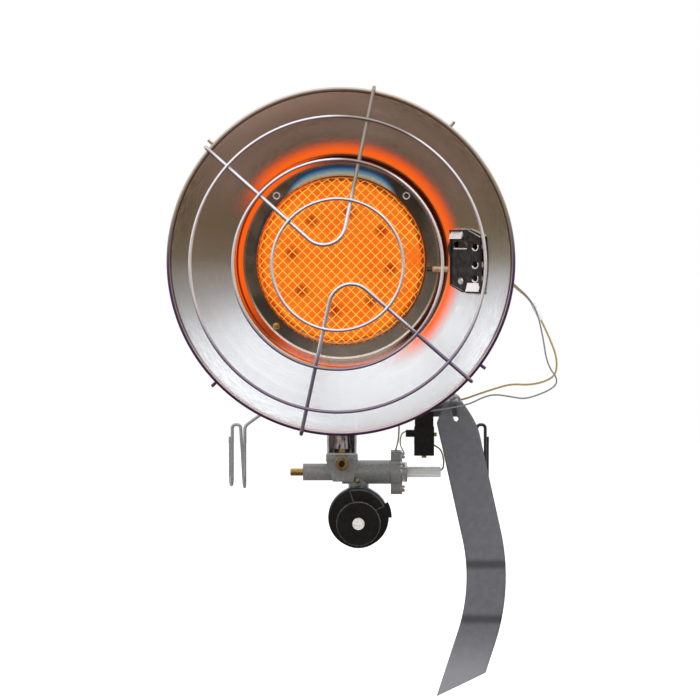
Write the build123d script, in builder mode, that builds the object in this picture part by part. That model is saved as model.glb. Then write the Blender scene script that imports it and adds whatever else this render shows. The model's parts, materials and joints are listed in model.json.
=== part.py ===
from build123d import *

import os
from math import atan2, cos, hypot, pi, radians, sin, tan

# Radiant gas heater with a screw fitting: a dish with a mesh burner, a thermoelectric safety valve, a
# regulator with a knob, a tip-over switch and a support wire with a double clip at each side.
# Millimetres, +Z up, the dish faces -Y. The origin is on the fitting nut's axis, at the shoulder of
# its thread.

os.makedirs("parts", exist_ok=True)

# Fits shared by all pieces
fit_gap = 0.05
running_gap = 0.08
free_gap = 0.4

# Main axes: the regulator lies on Y through the origin, the valve along X, the dish along Y
dish_x = -13.0
dish_z = 204.0
dish_floor_y = -75.0
valve_y = -28.0
valve_z = 38.0

# Reflector dish
rim_radius = 132.0
rim_bead_radius = 1.6
dish_depth = 54.0
dish_sheet = 0.8
floor_ledge = 2.8
well_flare = 4.6
well_height = 13.0
dish_bow = 0.6
bend_radius = 2.0
well_bend_radius = 5.0
bow_radius = 60.0
rim_stud_radius = 1.25
rim_stud_length = 4.0
rim_stud_angles = (51.0, 137.5, 224.0, 323.5)

# Wire guard
spoke_wire = 3.0
ring_wire = 2.5
ring_radii = {"outer": 111.5, "middle": 79.0, "inner": 49.5}
guard_height = 24.0
spoke_bend = 16.5
spoke_angles = {"upper": (79.2, 139.8), "lower": (257.0, 317.5)}
guard_shift = (-2.4, -2.0)
hook_tail = 5.5
hook_tip_inset = 2.75
hook_tip_length = 2.5

# Burner
mesh_radius = 64.8
mesh_height = 15.0
mesh_wire = 0.8
dome_crown_radius = 30.0
dome_shoulder_inset = 7.0
dome_shoulder_drop = 2.85
dome_brow_inset = 0.35
dome_brow_drop = 7.0
dome_bends = [150.0, 14.0, 5.0]
mesh_flange_width = 2.4
ring_width = 8.4
ring_sheet = 0.85
ring_lip_height = 2.4
screw_inset = 3.4
burner_screw_count = 4
burner_screw_angle = 45.0
emitter_sheet = 0.6
screen_gap = 3.2
spacer_count = 8
spacer_circle_radius = 38.0
spacer_radius = 2.3
spacer_first_angle = 36.7
cup_depth = 23.0
cup_sheet = 1.0
cup_clearance = 0.8
diffuser_radius = 34.0
diffuser_stand = 10.0
diffuser_leg_count = 3
diffuser_leg_radius = 2.0

# Machine screws
screw_radius = 1.9
screw_head_radius = 3.0
screw_head_height = 1.8
screw_head_round = 0.8
screw_socket_radius = 1.15
screw_tail = 2.0

# Venturi and jet
venturi_radius = 6.5
venturi_wall = 1.0
venturi_elbow = 18.0
bell_radius = 7.8
bell_height = 7.0
venturi_collar_width = 4.5
jet_thread_radius = 3.0
jet_hex_flats = 8.0
jet_hex_height = 5.0
jet_nose_height = 4.0
jet_bore_radius = 0.4
jet_nose_taper = 18.0
jet_depth = 8.0
jet_to_bell = -4.5

# Mounting bracket
bracket_width = 23.0
bracket_depth = 28.0
bracket_setback = 2.0
bracket_sheet = 1.5
bracket_foot_height = 120.0
bracket_web_height = 38.0
bracket_ear_length = 12.0
bracket_ear_height = 14.0
bracket_pad_width = 11.5
foot_screw_half = 6.5
foot_screw_back = 7.0

# Safety valve
pin_radius = 3.0
pin_reach = 10.0
pin_chamfer = 0.6
pin_collar_width = 1.5
barrel_radius = 6.7
barrel_left = -43.5
block_left = -25.5
block_right = -0.5
block_depth = 20.0
block_taper_left = 5.5
block_taper_right = 3.5
block_drop = 7.0
flange_thickness = 4.0
flange_top = 14.0
flange_overhang = 1.0
flange_corner = 2.0
chamber_radius = 6.5
body_radius = 9.3
body_right = 25.2
end_flange_width = 7.5
end_flange_reach = 13.0
end_flange_lobe = 4.5
end_flange_hub = 10.5
end_plate_sheet = 1.5
seat_x = -3.0
seat_hole_radius = 2.6
outlet_radius = 2.2
spring_chamber_radius = 4.3
spring_chamber_left = -32.0
spring_chamber_right = -19.0
button_travel = 5.0
stem_radius = 1.3
poppet_height = 1.75
armature_radius = 4.4
armature_height = 1.4
magnet_length = 13.5
magnet_pocket = 1.8
magnet_tail_radius = 3.9
magnet_pin_radius = 2.0
magnet_pin_end = 54.0
nut_flats = 13.5
nut_height = 4.0
sleeve_end = 64.3
sleeve_radius = 4.3
sleeve_bore_radius = 3.4
boss_radius = 8.0
boss_end = 24.0
plug_radius = 4.5
plug_head_radius = 5.5
plug_head_height = 2.2
plug_boss_radius = 6.5
plug_boss_height = 4.0
plug_rise = 7.3
plug_length = 6.0
plug_chamfer = 0.5
plug_socket_depth = 1.5
plug_socket_flats = 4.7
link_radius = 4.0
link_bore_radius = 2.5
link_depth_above = 8.0
link_depth_below = 9.0
link_end_gap = 1.0

# Springs
button_spring_wire = 0.6
button_spring_turns = 5
valve_spring_wire = 0.7
valve_spring_turns = 7
adjusting_spring_wire = 1.4
adjusting_spring_radius = 7.0
adjusting_spring_turns = 3

# Regulator
regulator_radius = 21.0
regulator_back = -18.0
regulator_split = -38.0
regulator_wall = 4.0
regulator_floor = 7.5
diaphragm_sheet = 0.8
diaphragm_plate_sheet = 1.6
bonnet_radius = 23.6
bonnet_rise = 4.5
bonnet_front = -58.0
bonnet_wall = 4.0
label_height = 2.5
label_inner_radius = 16.5
label_angles = (24.0, 108.0)
pointer_angles = (0.0, 28.0)
pointer_reach = 2.3
notch_angles = (236.0, 262.0, 356.0)
notch_width = 1.6
notch_depth = 1.6
knob_radius = 17.4
knob_height = 4.2
knob_boss_radius = 7.0
knob_flute_count = 24
knob_flute_radius = 0.7
knob_flute_depth = 0.45
cap_radius = 4.7
cap_height = 1.8
cap_proud = 0.3
cam_radius = 10.0
cam_height = 2.4

# Screw fitting, a left-hand thread behind a round nose
thread_radius = 11.2
thread_length = 18.0
nut_collar_length = 12.6
nut_collar_flats = 28.0
nipple_radius = 5.0
nipple_bore_radius = 2.0
nose_radius = 7.4
nose_length = 12.6
nose_straight = 4.4
inlet_boss_radius = 9.0
inlet_boss_length = 5.0
wheel_radius = 19.0
wheel_lobe_radius = 4.0
wheel_lobe_count = 8
wheel_width = 9.5
wheel_round = 1.0

# Tip-over switch
case_left = 43.2
case_width = 15.5
case_height = 22.5
case_depth = 16.0
case_bottom = 52.5
case_y = -50.0
case_wall = 2.0
neck_width = 14.4
neck_height = 17.0
neck_depth = 15.2
case_corner = 0.5
ear_length = 6.5
ear_height = 5.4
ear_depth = 6.0
cover_sheet = 1.2
pivot_radius = 0.8
pivot_drop = 4.5
pendulum_arm = 8.0
pendulum_weight_radius = 2.2
pendulum_width = 4.0
pendulum_arm_radius = 1.8
arm_sheet = 1.2
arm_height = 12.0
arm_bottom = 82.0
arm_right = 81.0
arm_tab_depth = 14.0
neck_screw_length = 6.0
hook_x = 73.3
hook_z = 91.4
hook_radius = 1.4
hook_reach = 27.0
hook_knob_radius = 2.4
hook_knob_length = 1.6
small_screw_radius = 1.5
small_head_radius = 2.6
small_head_height = 2.0
slot_width = 0.7
slot_depth = 0.8
terminal_width = 4.0
terminal_height = 3.0
terminal_reach = 2.0

# Thermocouple and its bracket on the right-hand slope of the dish
sensor_drop = 6.3
sensor_forward = 12.0
sheath_radius = 2.5
sheath_standoff = 5.0
sheath_tail = 7.5
tip_radius = 1.6
tip_reach = 6.0
tip_round = 1.3
sheath_chamfer = 0.75
plate_setback = 20.0
plate_length = 29.0
plate_height = 47.5
plate_sheet = 1.2
plate_cut = (12.0, 5.4)
plate_gap = 0.4
plate_rim_sheet = 1.0
plate_rim_height = 1.4
plate_slot_length = 13.5
plate_slot_width = 5.3
plate_slot_place = (-5.0, 12.2)
plate_hole_radius = 2.4
plate_hole_places = ((9.0, 11.0), (9.0, -2.5), (9.0, -13.0))
plate_rivet_places = ((-5.0, -15.3), (-5.0, 20.0))
plate_lip_height = 2.2
plate_lip_length = 11.0
leg_offset = 3.0
leg_sheet = 1.5
leg_width = 16.0
leg_depth = 10.0
window_margin = 1.9
lock_nut_flats = 8.0
lock_nut_height = 3.0
rivet_head_height = 1.0
rivet_head_taper = 40.0

# Support wire with a double clip at each side
wire_radius = 1.25
wire_pivot_y = -4.0
wire_pivot_z = 104.0
crossbar_half = 46.0
collar_half = 96.6
clip_top = 73.0
clip_bottom = 24.5
clip_free_end = 62.5
clip_step = 18.0
clip_front_y = -9.0
clip_outer_shift = 2.0
inner_leg_inset = 7.0
lean_foot_inset = 5.8
lean_top_inset = 3.0
outer_leg_outset = 3.6
free_leg_outset = 5.8
clip_bends = [8.0, 6.0, 7.0, 7.0, 3.0, 3.0, 7.0, 7.0]

# Hang tag
tag_y = -64.0
tag_sheet = 0.8
tag_width = 30.5
tag_lean = 12.5
tag_straight = 74.8
tag_curve_radius = 152.0
tag_curve_angle = 30.5
tag_tail = 24.0
tag_end_slant = 29.3
tag_nose_radius = 6.8
tag_nose_rise = 3.2
tag_shoulder = 27.0
tag_left_shoulder = 10.0
tag_slot_length = 10.0

# Cords and thin wires, as chosen points along their middle lines
cord_bend_share = 0.45
grey_lead_diameter = 1.2
tan_lead_diameter = 1.5
magnet_lead_diameter = 1.4
ground_lead_diameter = 1.0
earth_wire_diameter = 1.2
white_sleeve_radius = 1.7
white_sleeve_bore = 1.15
white_sleeve_share = (0.16, 0.86)

grey_lead_points = (
    (97.0, -87.0, 198.6), (108.4, -88.5, 196.0), (119.9, -92.0, 185.6), (130.6, -92.5, 176.0),
    (137.4, -93.0, 164.2), (142.0, -93.0, 142.0), (143.6, -92.0, 130.5), (147.0, -91.0, 121.3),
    (151.8, -89.0, 115.1), (152.3, -87.0, 109.6), (146.9, -85.0, 104.9), (137.1, -81.0, 100.5),
    (127.7, -77.0, 97.6), (118.3, -73.0, 99.0), (105.3, -70.5, 101.0), (96.0, -69.5, 98.5),
    (86.7, -69.5, 93.7), (75.9, -70.0, 91.2), (65.5, -69.4, 89.4), (57.6, -64.6, 88.0),
    (54.4, -55.7, 87.0),
)
sleeve_run_points = ((132.2, -88.0, 174.0), (141.5, -87.0, 156.0))
tan_lead_points = (
    (97.0, -87.0, 196.6), (109.0, -86.0, 193.2), (120.0, -87.5, 184.0), *sleeve_run_points,
    (147.3, -86.0, 143.3), (151.5, -85.0, 132.5), (152.6, -84.0, 123.3), (150.9, -83.0, 115.6),
    (142.6, -80.0, 110.8), (131.2, -75.0, 108.3), (117.5, -71.0, 108.9), (105.2, -68.5, 105.1),
    (92.4, -65.5, 100.8), (82.6, -60.5, 96.8), (74.0, -58.2, 95.4), (66.0, -57.6, 93.4),
    (58.6, -57.2, 90.8), (50.9, -55.7, 89.0),
)
magnet_lead_points = (
    (54.0, -28.0, 38.0), (62.8, -28.0, 38.2), (66.2, -29.6, 41.0), (66.6, -33.8, 46.4),
    (65.6, -40.0, 52.4), (63.4, -46.0, 57.4), (58.4, -50.0, 60.5),
)
ground_lead_points = (
    (37.0, -50.0, 71.2), (33.6, -49.0, 69.3), (32.4, -44.6, 64.6), (32.6, -38.6, 59.8),
    (34.0, -33.2, 56.4), (35.7, -28.8, 53.0),
)
earth_wire_points = (
    (31.7, -40.2, 82.4), (31.6, -38.5, 73.0), (31.2, -33.2, 63.5), (29.0, -28.0, 55.0),
)

# Planes and axes that the pieces share
dish_axis = Axis((dish_x, dish_floor_y, dish_z), (0, -1, 0))
dish_section = Plane((dish_x, dish_floor_y, dish_z), x_dir=(1, 0, 0), z_dir=(0, 0, -1))
valve_axis = Axis((0, valve_y, valve_z), (1, 0, 0))
valve_section = Plane((0, valve_y, valve_z), x_dir=(1, 0, 0), z_dir=(0, -1, 0))
regulator_axis = Axis((0, 0, 0), (0, 1, 0))
regulator_section = Plane.XY


def keep(piece, node):
    """Label a finished piece and write it under its node's name."""
    piece.part.label = node
    export_step(piece.part, f"parts/{node}.step")


def dish_face(forward):
    """Plane across the dish axis, facing the front, at a distance in front of the well floor."""
    return Plane((dish_x, dish_floor_y - forward, dish_z), x_dir=(1, 0, 0), z_dir=(0, -1, 0))


def dish_point(radius, angle, forward):
    """Point at a radius and an angle round the dish axis, in front of the well floor."""
    turn = radians(angle)
    return (dish_x + radius * cos(turn), dish_floor_y - forward, dish_z + radius * sin(turn))


def front_plane(y):
    """Plane seen from the front, in X and Z, that extrudes towards the front."""
    return Plane((0, y, 0), x_dir=(1, 0, 0), z_dir=(0, -1, 0))


def valve_plane(x):
    """Plane across the valve axis that extrudes to the right."""
    return Plane((x, valve_y, valve_z), x_dir=(0, 1, 0), z_dir=(1, 0, 0))


def hexagon_radius(flats):
    """Corner radius of a hexagon from its width across flats."""
    return flats / 2 / cos(pi / 6)


def cord_radii(points):
    """Largest arc that each corner of a cord's route leaves room for."""
    radii = []
    for before, corner, after in zip(points, points[1:], points[2:]):
        run_in = Vector(*corner) - Vector(*before)
        run_out = Vector(*after) - Vector(*corner)
        half_turn = radians(run_in.get_angle(run_out)) / 2
        radii.append(cord_bend_share * min(run_in.length, run_out.length) / tan(half_turn))
    return radii


def cord(name, points, diameter):
    """Tube along straight runs and tangent arcs, with its radii and volume printed."""
    radii = cord_radii(points)
    with BuildPart() as tube:
        with BuildLine() as route:
            FilletPolyline(*points, radius=radii)
        with BuildSketch(Plane(route.line @ 0, z_dir=route.line % 0)):
            Circle(diameter / 2)
        sweep(path=route.line)
    length = route.wire().length
    expected = pi * diameter**2 / 4 * length
    print(f"{name}: length {length:.1f}, radii", [round(radius, 1) for radius in radii])
    print(f"{name}: volume {tube.part.volume:.2f}, section times length {expected:.2f}")
    return tube


def coil(start, along, across, radius, wire, length, turns):
    """Compression spring of tilted half turns, one unbroken tube, wound from start."""
    first = Vector(*start)
    step = Vector(*along) * (length / (2 * turns))
    side = Vector(*across)
    lift = Vector(*along).cross(side)
    half_chord = hypot(radius, step.length / 2)
    with BuildPart() as spring:
        with BuildLine() as path:
            for turn in range(2 * turns):
                sign = 1 if turn % 2 == 0 else -1
                begin = first + step * turn + side * (sign * radius)
                end = first + step * (turn + 1) - side * (sign * radius)
                ThreePointArc(begin, (begin + end) / 2 + lift * (sign * half_chord), end)
        with BuildSketch(Plane(path.line @ 0, z_dir=path.line % 0)):
            Circle(wire / 2)
        sweep(path=path.line)
    return spring


# Radii that the burner's pieces and the dish share, from the mesh outwards
mesh_flange_radius = mesh_radius + mesh_flange_width
screw_circle_radius = mesh_flange_radius + screw_inset
ring_radius = mesh_flange_radius + ring_width
floor_radius = ring_radius + bend_radius
well_radius = floor_radius + well_flare
floor_hole_radius = mesh_radius - floor_ledge
cup_radius = floor_hole_radius - cup_clearance

# Reflector dish: floor with the burner's hole, steep well, bowed slope and a rolled rim
bead_circle_radius = rim_radius - rim_bead_radius
bead_forward = dish_depth - rim_bead_radius
lip_radius = bead_circle_radius - rim_bead_radius / 2
lip_forward = bead_forward - rim_bead_radius / 2
slope_turn = atan2(lip_forward - well_height, lip_radius - well_radius)
knee_radius = (well_radius + lip_radius) / 2 + dish_bow * sin(slope_turn)
knee_forward = (well_height + lip_forward) / 2 - dish_bow * cos(slope_turn)

# Place of the thermocouple's plate, parallel to the line from the well to the rim and clear of the slope
plate_inner_radius = well_radius + (plate_setback - plate_length / 2) * cos(slope_turn)
plate_sag = (hypot(plate_inner_radius, plate_height / 2) - plate_inner_radius) * sin(slope_turn)
plate_standoff = dish_sheet + plate_sag + plate_gap
plate_radius = well_radius + plate_setback * cos(slope_turn) - plate_standoff * sin(slope_turn)
plate_forward = well_height + plate_setback * sin(slope_turn) + plate_standoff * cos(slope_turn)
plate_plane = Plane(
    dish_point(plate_radius, 0, plate_forward),
    x_dir=(cos(slope_turn), -sin(slope_turn), 0),
    z_dir=(-sin(slope_turn), -cos(slope_turn), 0),
)
rivet_depth = plate_standoff + dish_bow + dish_sheet
sensor_y = dish_floor_y - sensor_forward
sensor_z = dish_z - sensor_drop
leg_radius = plate_radius + leg_offset
window_radius = leg_radius + leg_sheet / 2
window_length = leg_sheet + 2 * window_margin
window_height = leg_width + 2 * window_margin
sheath_hole_radius = sheath_radius + free_gap

with BuildPart() as reflector_dish:
    with BuildSketch(dish_section):
        with BuildLine():
            FilletPolyline(
                (floor_hole_radius, 0),
                (floor_radius, 0),
                (well_radius, well_height),
                (knee_radius, knee_forward),
                (lip_radius, lip_forward),
                radius=[bend_radius, well_bend_radius, bow_radius],
            )
            offset(amount=dish_sheet, side=Side.LEFT)
        make_face()
        with Locations((bead_circle_radius, bead_forward)):
            Circle(rim_bead_radius)
    revolve(axis=dish_axis)
    with BuildSketch(dish_face(-dish_sheet)):
        with PolarLocations(screw_circle_radius, burner_screw_count, start_angle=burner_screw_angle):
            Circle(screw_radius + fit_gap)
    extrude(amount=3 * dish_sheet, mode=Mode.SUBTRACT)
    with BuildSketch(dish_face(well_height)):
        with Locations((window_radius, -sensor_drop)):
            Rectangle(window_length, window_height)
    extrude(amount=dish_depth - well_height, mode=Mode.SUBTRACT)
    with BuildSketch(plate_plane):
        with Locations(*plate_rivet_places):
            Circle(small_screw_radius + fit_gap)
    extrude(amount=-rivet_depth, mode=Mode.SUBTRACT)
    with BuildSketch(Plane((dish_x + well_radius - bend_radius, sensor_y, sensor_z), z_dir=(1, 0, 0))):
        Circle(sheath_hole_radius)
    extrude(amount=leg_radius - well_radius, mode=Mode.SUBTRACT)
keep(reflector_dish, "reflector_dish")

with BuildPart() as rim_studs:
    for stud_angle in rim_stud_angles:
        outward = (cos(radians(stud_angle)), 0, sin(radians(stud_angle)))
        with BuildSketch(Plane(dish_point(rim_radius + fit_gap, stud_angle, bead_forward), z_dir=outward)):
            Circle(rim_stud_radius)
        extrude(amount=rim_stud_length)
keep(rim_studs, "rim_studs")

# Wire guard: bent spokes that hook round the rim, and rings welded in front of them
hook_offset = rim_bead_radius + spoke_wire / 2 + free_gap
hook_radius_out = bead_circle_radius + hook_offset
hook_forward = bead_forward + hook_offset
apex_forward = dish_depth + guard_height
spoke_slope = atan2(apex_forward - hook_forward, hook_radius_out)
guard_lean = tan(spoke_slope) / hook_radius_out
guard_facing = (guard_lean * guard_shift[0], -1, guard_lean * guard_shift[1])


def guard_middle(forward):
    """Point on the line that the spokes' bends and the rings share, a little off the dish axis."""
    return (dish_x + guard_shift[0], dish_floor_y - forward, dish_z + guard_shift[1])


def guard_spoke(first_angle, second_angle):
    """Wire in a wide V whose two ends hook round the rim."""
    ends = []
    for angle in (first_angle, second_angle):
        ends.append([
            dish_point(hook_radius_out - hook_tip_inset, angle, bead_forward - hook_tail - hook_tip_length),
            dish_point(hook_radius_out, angle, bead_forward - hook_tail),
            dish_point(hook_radius_out, angle, hook_forward),
        ])
    points = ends[0] + [guard_middle(apex_forward)] + ends[1][::-1]
    corner_radii = [spoke_wire, hook_offset, spoke_bend, hook_offset, spoke_wire]
    with BuildPart() as spoke:
        with BuildLine() as route:
            FilletPolyline(*points, radius=corner_radii)
        with BuildSketch(Plane(route.line @ 0, z_dir=route.line % 0)):
            Circle(spoke_wire / 2)
        sweep(path=route.line)
    return spoke


def guard_ring(radius):
    """Closed ring that rests on the front of all four spoke legs."""
    spoke_forward = apex_forward - radius * tan(spoke_slope)
    forward = spoke_forward + ((spoke_wire + ring_wire) / 2 + fit_gap) / cos(spoke_slope)
    with BuildPart(Plane(guard_middle(forward), z_dir=guard_facing)) as ring:
        Torus(radius, ring_wire / 2)
    return ring


for place, angles in spoke_angles.items():
    keep(guard_spoke(*angles), f"guard_spoke_{place}")
for place, radius in ring_radii.items():
    keep(guard_ring(radius), f"guard_ring_{place}")

# Burner: cup behind the dish floor, two domed screens and the flange ring that clamps them
mesh_seat = dish_sheet
mesh_inner_radius = mesh_radius - mesh_wire
ring_seat = mesh_seat + mesh_wire + fit_gap
ring_front = ring_seat + ring_sheet


def dome_line(radius, height, foot):
    """Corner points of a flat dome with a rounded shoulder, from its crown to its foot."""
    return (
        (0, height),
        (dome_crown_radius, height),
        (radius - dome_shoulder_inset, height - dome_shoulder_drop),
        (radius - dome_brow_inset, height - dome_brow_drop),
        (radius, foot),
    )


with BuildPart() as outer_mesh_screen:
    with BuildSketch(dish_section):
        with BuildLine():
            FilletPolyline(
                *dome_line(mesh_inner_radius, mesh_height, mesh_seat),
                (mesh_flange_radius, mesh_seat),
                radius=[*dome_bends, mesh_wire],
            )
            offset(amount=mesh_wire, side=Side.LEFT)
        make_face()
    revolve(axis=dish_axis)
keep(outer_mesh_screen, "outer_mesh_screen")

emitter_radius = cup_radius - cup_sheet - bend_radius - emitter_sheet
emitter_height = mesh_height - screen_gap - emitter_sheet
cup_inside = cup_sheet - cup_depth
with BuildPart() as inner_emitter_screen:
    with BuildSketch(dish_section):
        with BuildLine():
            FilletPolyline(*dome_line(emitter_radius, emitter_height, cup_inside), radius=dome_bends)
            offset(amount=emitter_sheet, side=Side.LEFT)
        make_face()
    revolve(axis=dish_axis)
keep(inner_emitter_screen, "inner_emitter_screen")

spacer_slope = dome_shoulder_drop / (mesh_inner_radius - dome_shoulder_inset - dome_crown_radius)
spacer_lean = spacer_slope * (spacer_circle_radius + spacer_radius - dome_crown_radius)
spacer_back = emitter_height + emitter_sheet
spacer_front = mesh_height - spacer_lean - fit_gap
with BuildPart() as screen_spacers:
    with BuildSketch(dish_face(spacer_back)):
        with PolarLocations(spacer_circle_radius, spacer_count, start_angle=spacer_first_angle):
            Circle(spacer_radius)
    extrude(amount=spacer_front - spacer_back)
keep(screen_spacers, "screen_spacers")

with BuildPart() as burner_flange_ring:
    with BuildSketch(dish_section):
        with BuildLine():
            Polyline(
                (mesh_radius + free_gap, ring_seat),
                (mesh_flange_radius + fit_gap, ring_seat),
                (mesh_flange_radius + fit_gap, dish_sheet),
                (ring_radius, dish_sheet),
                (ring_radius, ring_front + ring_lip_height),
                (ring_radius - ring_sheet, ring_front + ring_lip_height),
                (ring_radius - ring_sheet, ring_front),
                (mesh_radius + free_gap, ring_front),
                close=True,
            )
        make_face()
    revolve(axis=dish_axis)
    with BuildSketch(dish_face(0)):
        with PolarLocations(screw_circle_radius, burner_screw_count, start_angle=burner_screw_angle):
            Circle(screw_radius + fit_gap)
    extrude(amount=ring_front + ring_lip_height, mode=Mode.SUBTRACT)
keep(burner_flange_ring, "burner_flange_ring")

burner_screw_end = -cup_sheet - screw_tail
with BuildPart() as burner_screws:
    with BuildSketch(dish_face(burner_screw_end)):
        with PolarLocations(screw_circle_radius, burner_screw_count, start_angle=burner_screw_angle):
            Circle(screw_radius)
    extrude(amount=ring_front - burner_screw_end)
    with BuildSketch(dish_face(ring_front)):
        with PolarLocations(screw_circle_radius, burner_screw_count, start_angle=burner_screw_angle):
            Circle(screw_head_radius)
    extrude(amount=screw_head_height)
    fillet(burner_screws.faces().group_by(Axis.Y)[0].edges(), radius=screw_head_round)
    with BuildSketch(dish_face(ring_front + screw_head_height / 2)):
        with PolarLocations(screw_circle_radius, burner_screw_count, start_angle=burner_screw_angle):
            Circle(screw_socket_radius)
    extrude(amount=screw_head_height, mode=Mode.SUBTRACT)
keep(burner_screws, "burner_screws")

cup_back_y = dish_floor_y + cup_depth
bracket_back_x = bracket_width / 2 + bracket_pad_width / 2
pad_screw_drop = dish_z - valve_z - flange_top - bracket_foot_height + bracket_pad_width
with BuildPart() as burner_cup:
    with BuildSketch(dish_section):
        with BuildLine():
            FilletPolyline(
                (venturi_radius + fit_gap, -cup_depth),
                (cup_radius, -cup_depth),
                (cup_radius, -cup_sheet),
                (ring_radius, -cup_sheet),
                radius=[bend_radius, bend_radius / 2],
            )
            offset(amount=cup_sheet, side=Side.LEFT)
        make_face()
    revolve(axis=dish_axis)
    with BuildSketch(dish_face(-2 * cup_sheet)):
        with PolarLocations(screw_circle_radius, burner_screw_count, start_angle=burner_screw_angle):
            Circle(screw_radius + fit_gap)
    extrude(amount=3 * cup_sheet, mode=Mode.SUBTRACT)
    with BuildSketch(dish_face(-cup_depth - cup_sheet)):
        with Locations((-bracket_back_x, -pad_screw_drop), (bracket_back_x, -pad_screw_drop)):
            Circle(screw_radius + fit_gap)
    extrude(amount=3 * cup_sheet, mode=Mode.SUBTRACT)
keep(burner_cup, "burner_cup")

diffuser_leg_circle = diffuser_radius - 4 * diffuser_leg_radius
with BuildPart() as diffuser_plate:
    with BuildSketch(dish_face(cup_inside)):
        with PolarLocations(diffuser_leg_circle, diffuser_leg_count, start_angle=90):
            Circle(diffuser_leg_radius)
    extrude(amount=diffuser_stand)
    with BuildSketch(dish_face(cup_inside + diffuser_stand)):
        Circle(diffuser_radius)
    extrude(amount=cup_sheet)
keep(diffuser_plate, "diffuser_plate")

# Venturi: bell mouth over the jet, vertical tube, elbow into the back of the cup
bracket_seat_z = valve_z + flange_top
jet_top = bracket_seat_z + jet_hex_height + jet_nose_height
bell_z = jet_top + jet_to_bell
venturi_end_y = cup_back_y - 2 * cup_sheet
with BuildPart() as venturi_tube:
    with BuildLine() as mix_path:
        FilletPolyline(
            (dish_x, valve_y, bell_z),
            (dish_x, valve_y, dish_z),
            (dish_x, venturi_end_y, dish_z),
            radius=venturi_elbow,
        )
    with BuildSketch(Plane.XY.offset(bell_z)):
        with Locations((dish_x, valve_y)):
            Circle(venturi_radius)
    sweep(path=mix_path.line)
    with BuildSketch(front_plane(cup_back_y + cup_sheet)):
        with Locations((dish_x, dish_z)):
            Circle(venturi_radius + venturi_collar_width)
    extrude(amount=cup_sheet)
    with BuildSketch(Plane((dish_x, valve_y, bell_z), x_dir=(1, 0, 0), z_dir=(0, -1, 0))):
        with BuildLine():
            Polyline((0, 0), (bell_radius, 0), (venturi_radius, bell_height), (0, bell_height), close=True)
        make_face()
    revolve(axis=Axis((dish_x, valve_y, bell_z), (0, 0, 1)))
    with BuildSketch(Plane.XY.offset(bell_z)):
        with Locations((dish_x, valve_y)):
            Circle(venturi_radius - venturi_wall)
    sweep(path=mix_path.line, mode=Mode.SUBTRACT)
keep(venturi_tube, "venturi_tube")

# Mounting bracket: folded channel from the valve's top flange to the back of the cup, with ears for the wire
wall_left = dish_x - bracket_width / 2
wall_right = dish_x + bracket_width / 2
bracket_front = valve_y - bracket_depth / 2 + bracket_setback
bracket_rear = bracket_front + bracket_depth
bracket_top = bracket_seat_z + bracket_foot_height
pad_bottom = bracket_top - 2 * bracket_pad_width
ear_bottom = wire_pivot_z - bracket_ear_height / 2
ear_top = wire_pivot_z + bracket_ear_height / 2
ear_end = bracket_rear + bracket_ear_length
wall_outline = (
    (bracket_front, bracket_seat_z),
    (bracket_front, pad_bottom - bracket_pad_width),
    (cup_back_y, pad_bottom),
    (cup_back_y, bracket_top),
    (bracket_front, bracket_top),
    (bracket_rear, bracket_top - bracket_depth),
    (bracket_rear, ear_top),
    (ear_end, ear_top),
    (ear_end, ear_bottom),
    (bracket_rear, ear_bottom),
    (bracket_rear, bracket_seat_z),
)
foot_places = [(dish_x + side * foot_screw_half, valve_y + foot_screw_back) for side in (-1, 1)]
pad_places = [(dish_x + side * bracket_back_x, dish_z - pad_screw_drop) for side in (-1, 1)]
pad_x = bracket_width / 2 - bracket_sheet / 2 + bracket_pad_width / 2
pad_middles = [(dish_x + side * pad_x, bracket_top - bracket_pad_width) for side in (-1, 1)]

# Places of the tip-over switch, whose arm is screwed to the bracket's right-hand wall
case_middle = case_left + case_width / 2
case_top = case_bottom + case_height
case_back = case_y + case_depth / 2
arm_front = case_back + cover_sheet
arm_back = arm_front + arm_sheet
arm_middle_z = arm_bottom + arm_height / 2
arm_screw_place = (arm_back + arm_tab_depth / 2, arm_middle_z)
neck_screw_place = (case_middle, arm_middle_z)
with BuildPart() as mounting_bracket:
    for wall_x in (wall_left, wall_right - bracket_sheet):
        with BuildSketch(Plane.YZ.offset(wall_x)):
            with BuildLine():
                Polyline(*wall_outline, close=True)
            make_face()
            with Locations((wire_pivot_y, wire_pivot_z)):
                Circle(wire_radius + running_gap, mode=Mode.SUBTRACT)
            with Locations(arm_screw_place):
                Circle(small_screw_radius + fit_gap, mode=Mode.SUBTRACT)
        extrude(amount=bracket_sheet)
    with BuildSketch(front_plane(bracket_rear)):
        with Locations((dish_x, bracket_seat_z + bracket_web_height / 2)):
            Rectangle(bracket_width, bracket_web_height)
    extrude(amount=bracket_sheet)
    with BuildSketch(Plane.XY.offset(bracket_seat_z)):
        with Locations((dish_x, (bracket_front + bracket_rear) / 2)):
            Rectangle(bracket_width, bracket_depth)
        with Locations((dish_x, valve_y)):
            Circle(hexagon_radius(jet_hex_flats) + free_gap, mode=Mode.SUBTRACT)
        with Locations(*foot_places):
            Circle(small_screw_radius + fit_gap, mode=Mode.SUBTRACT)
    extrude(amount=bracket_sheet)
    with BuildSketch(front_plane(cup_back_y + bracket_sheet)):
        with Locations(*pad_middles):
            Rectangle(bracket_pad_width + bracket_sheet, 2 * bracket_pad_width)
        with Locations(*pad_places):
            Circle(screw_radius + fit_gap, mode=Mode.SUBTRACT)
    extrude(amount=bracket_sheet)
keep(mounting_bracket, "mounting_bracket")

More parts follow.
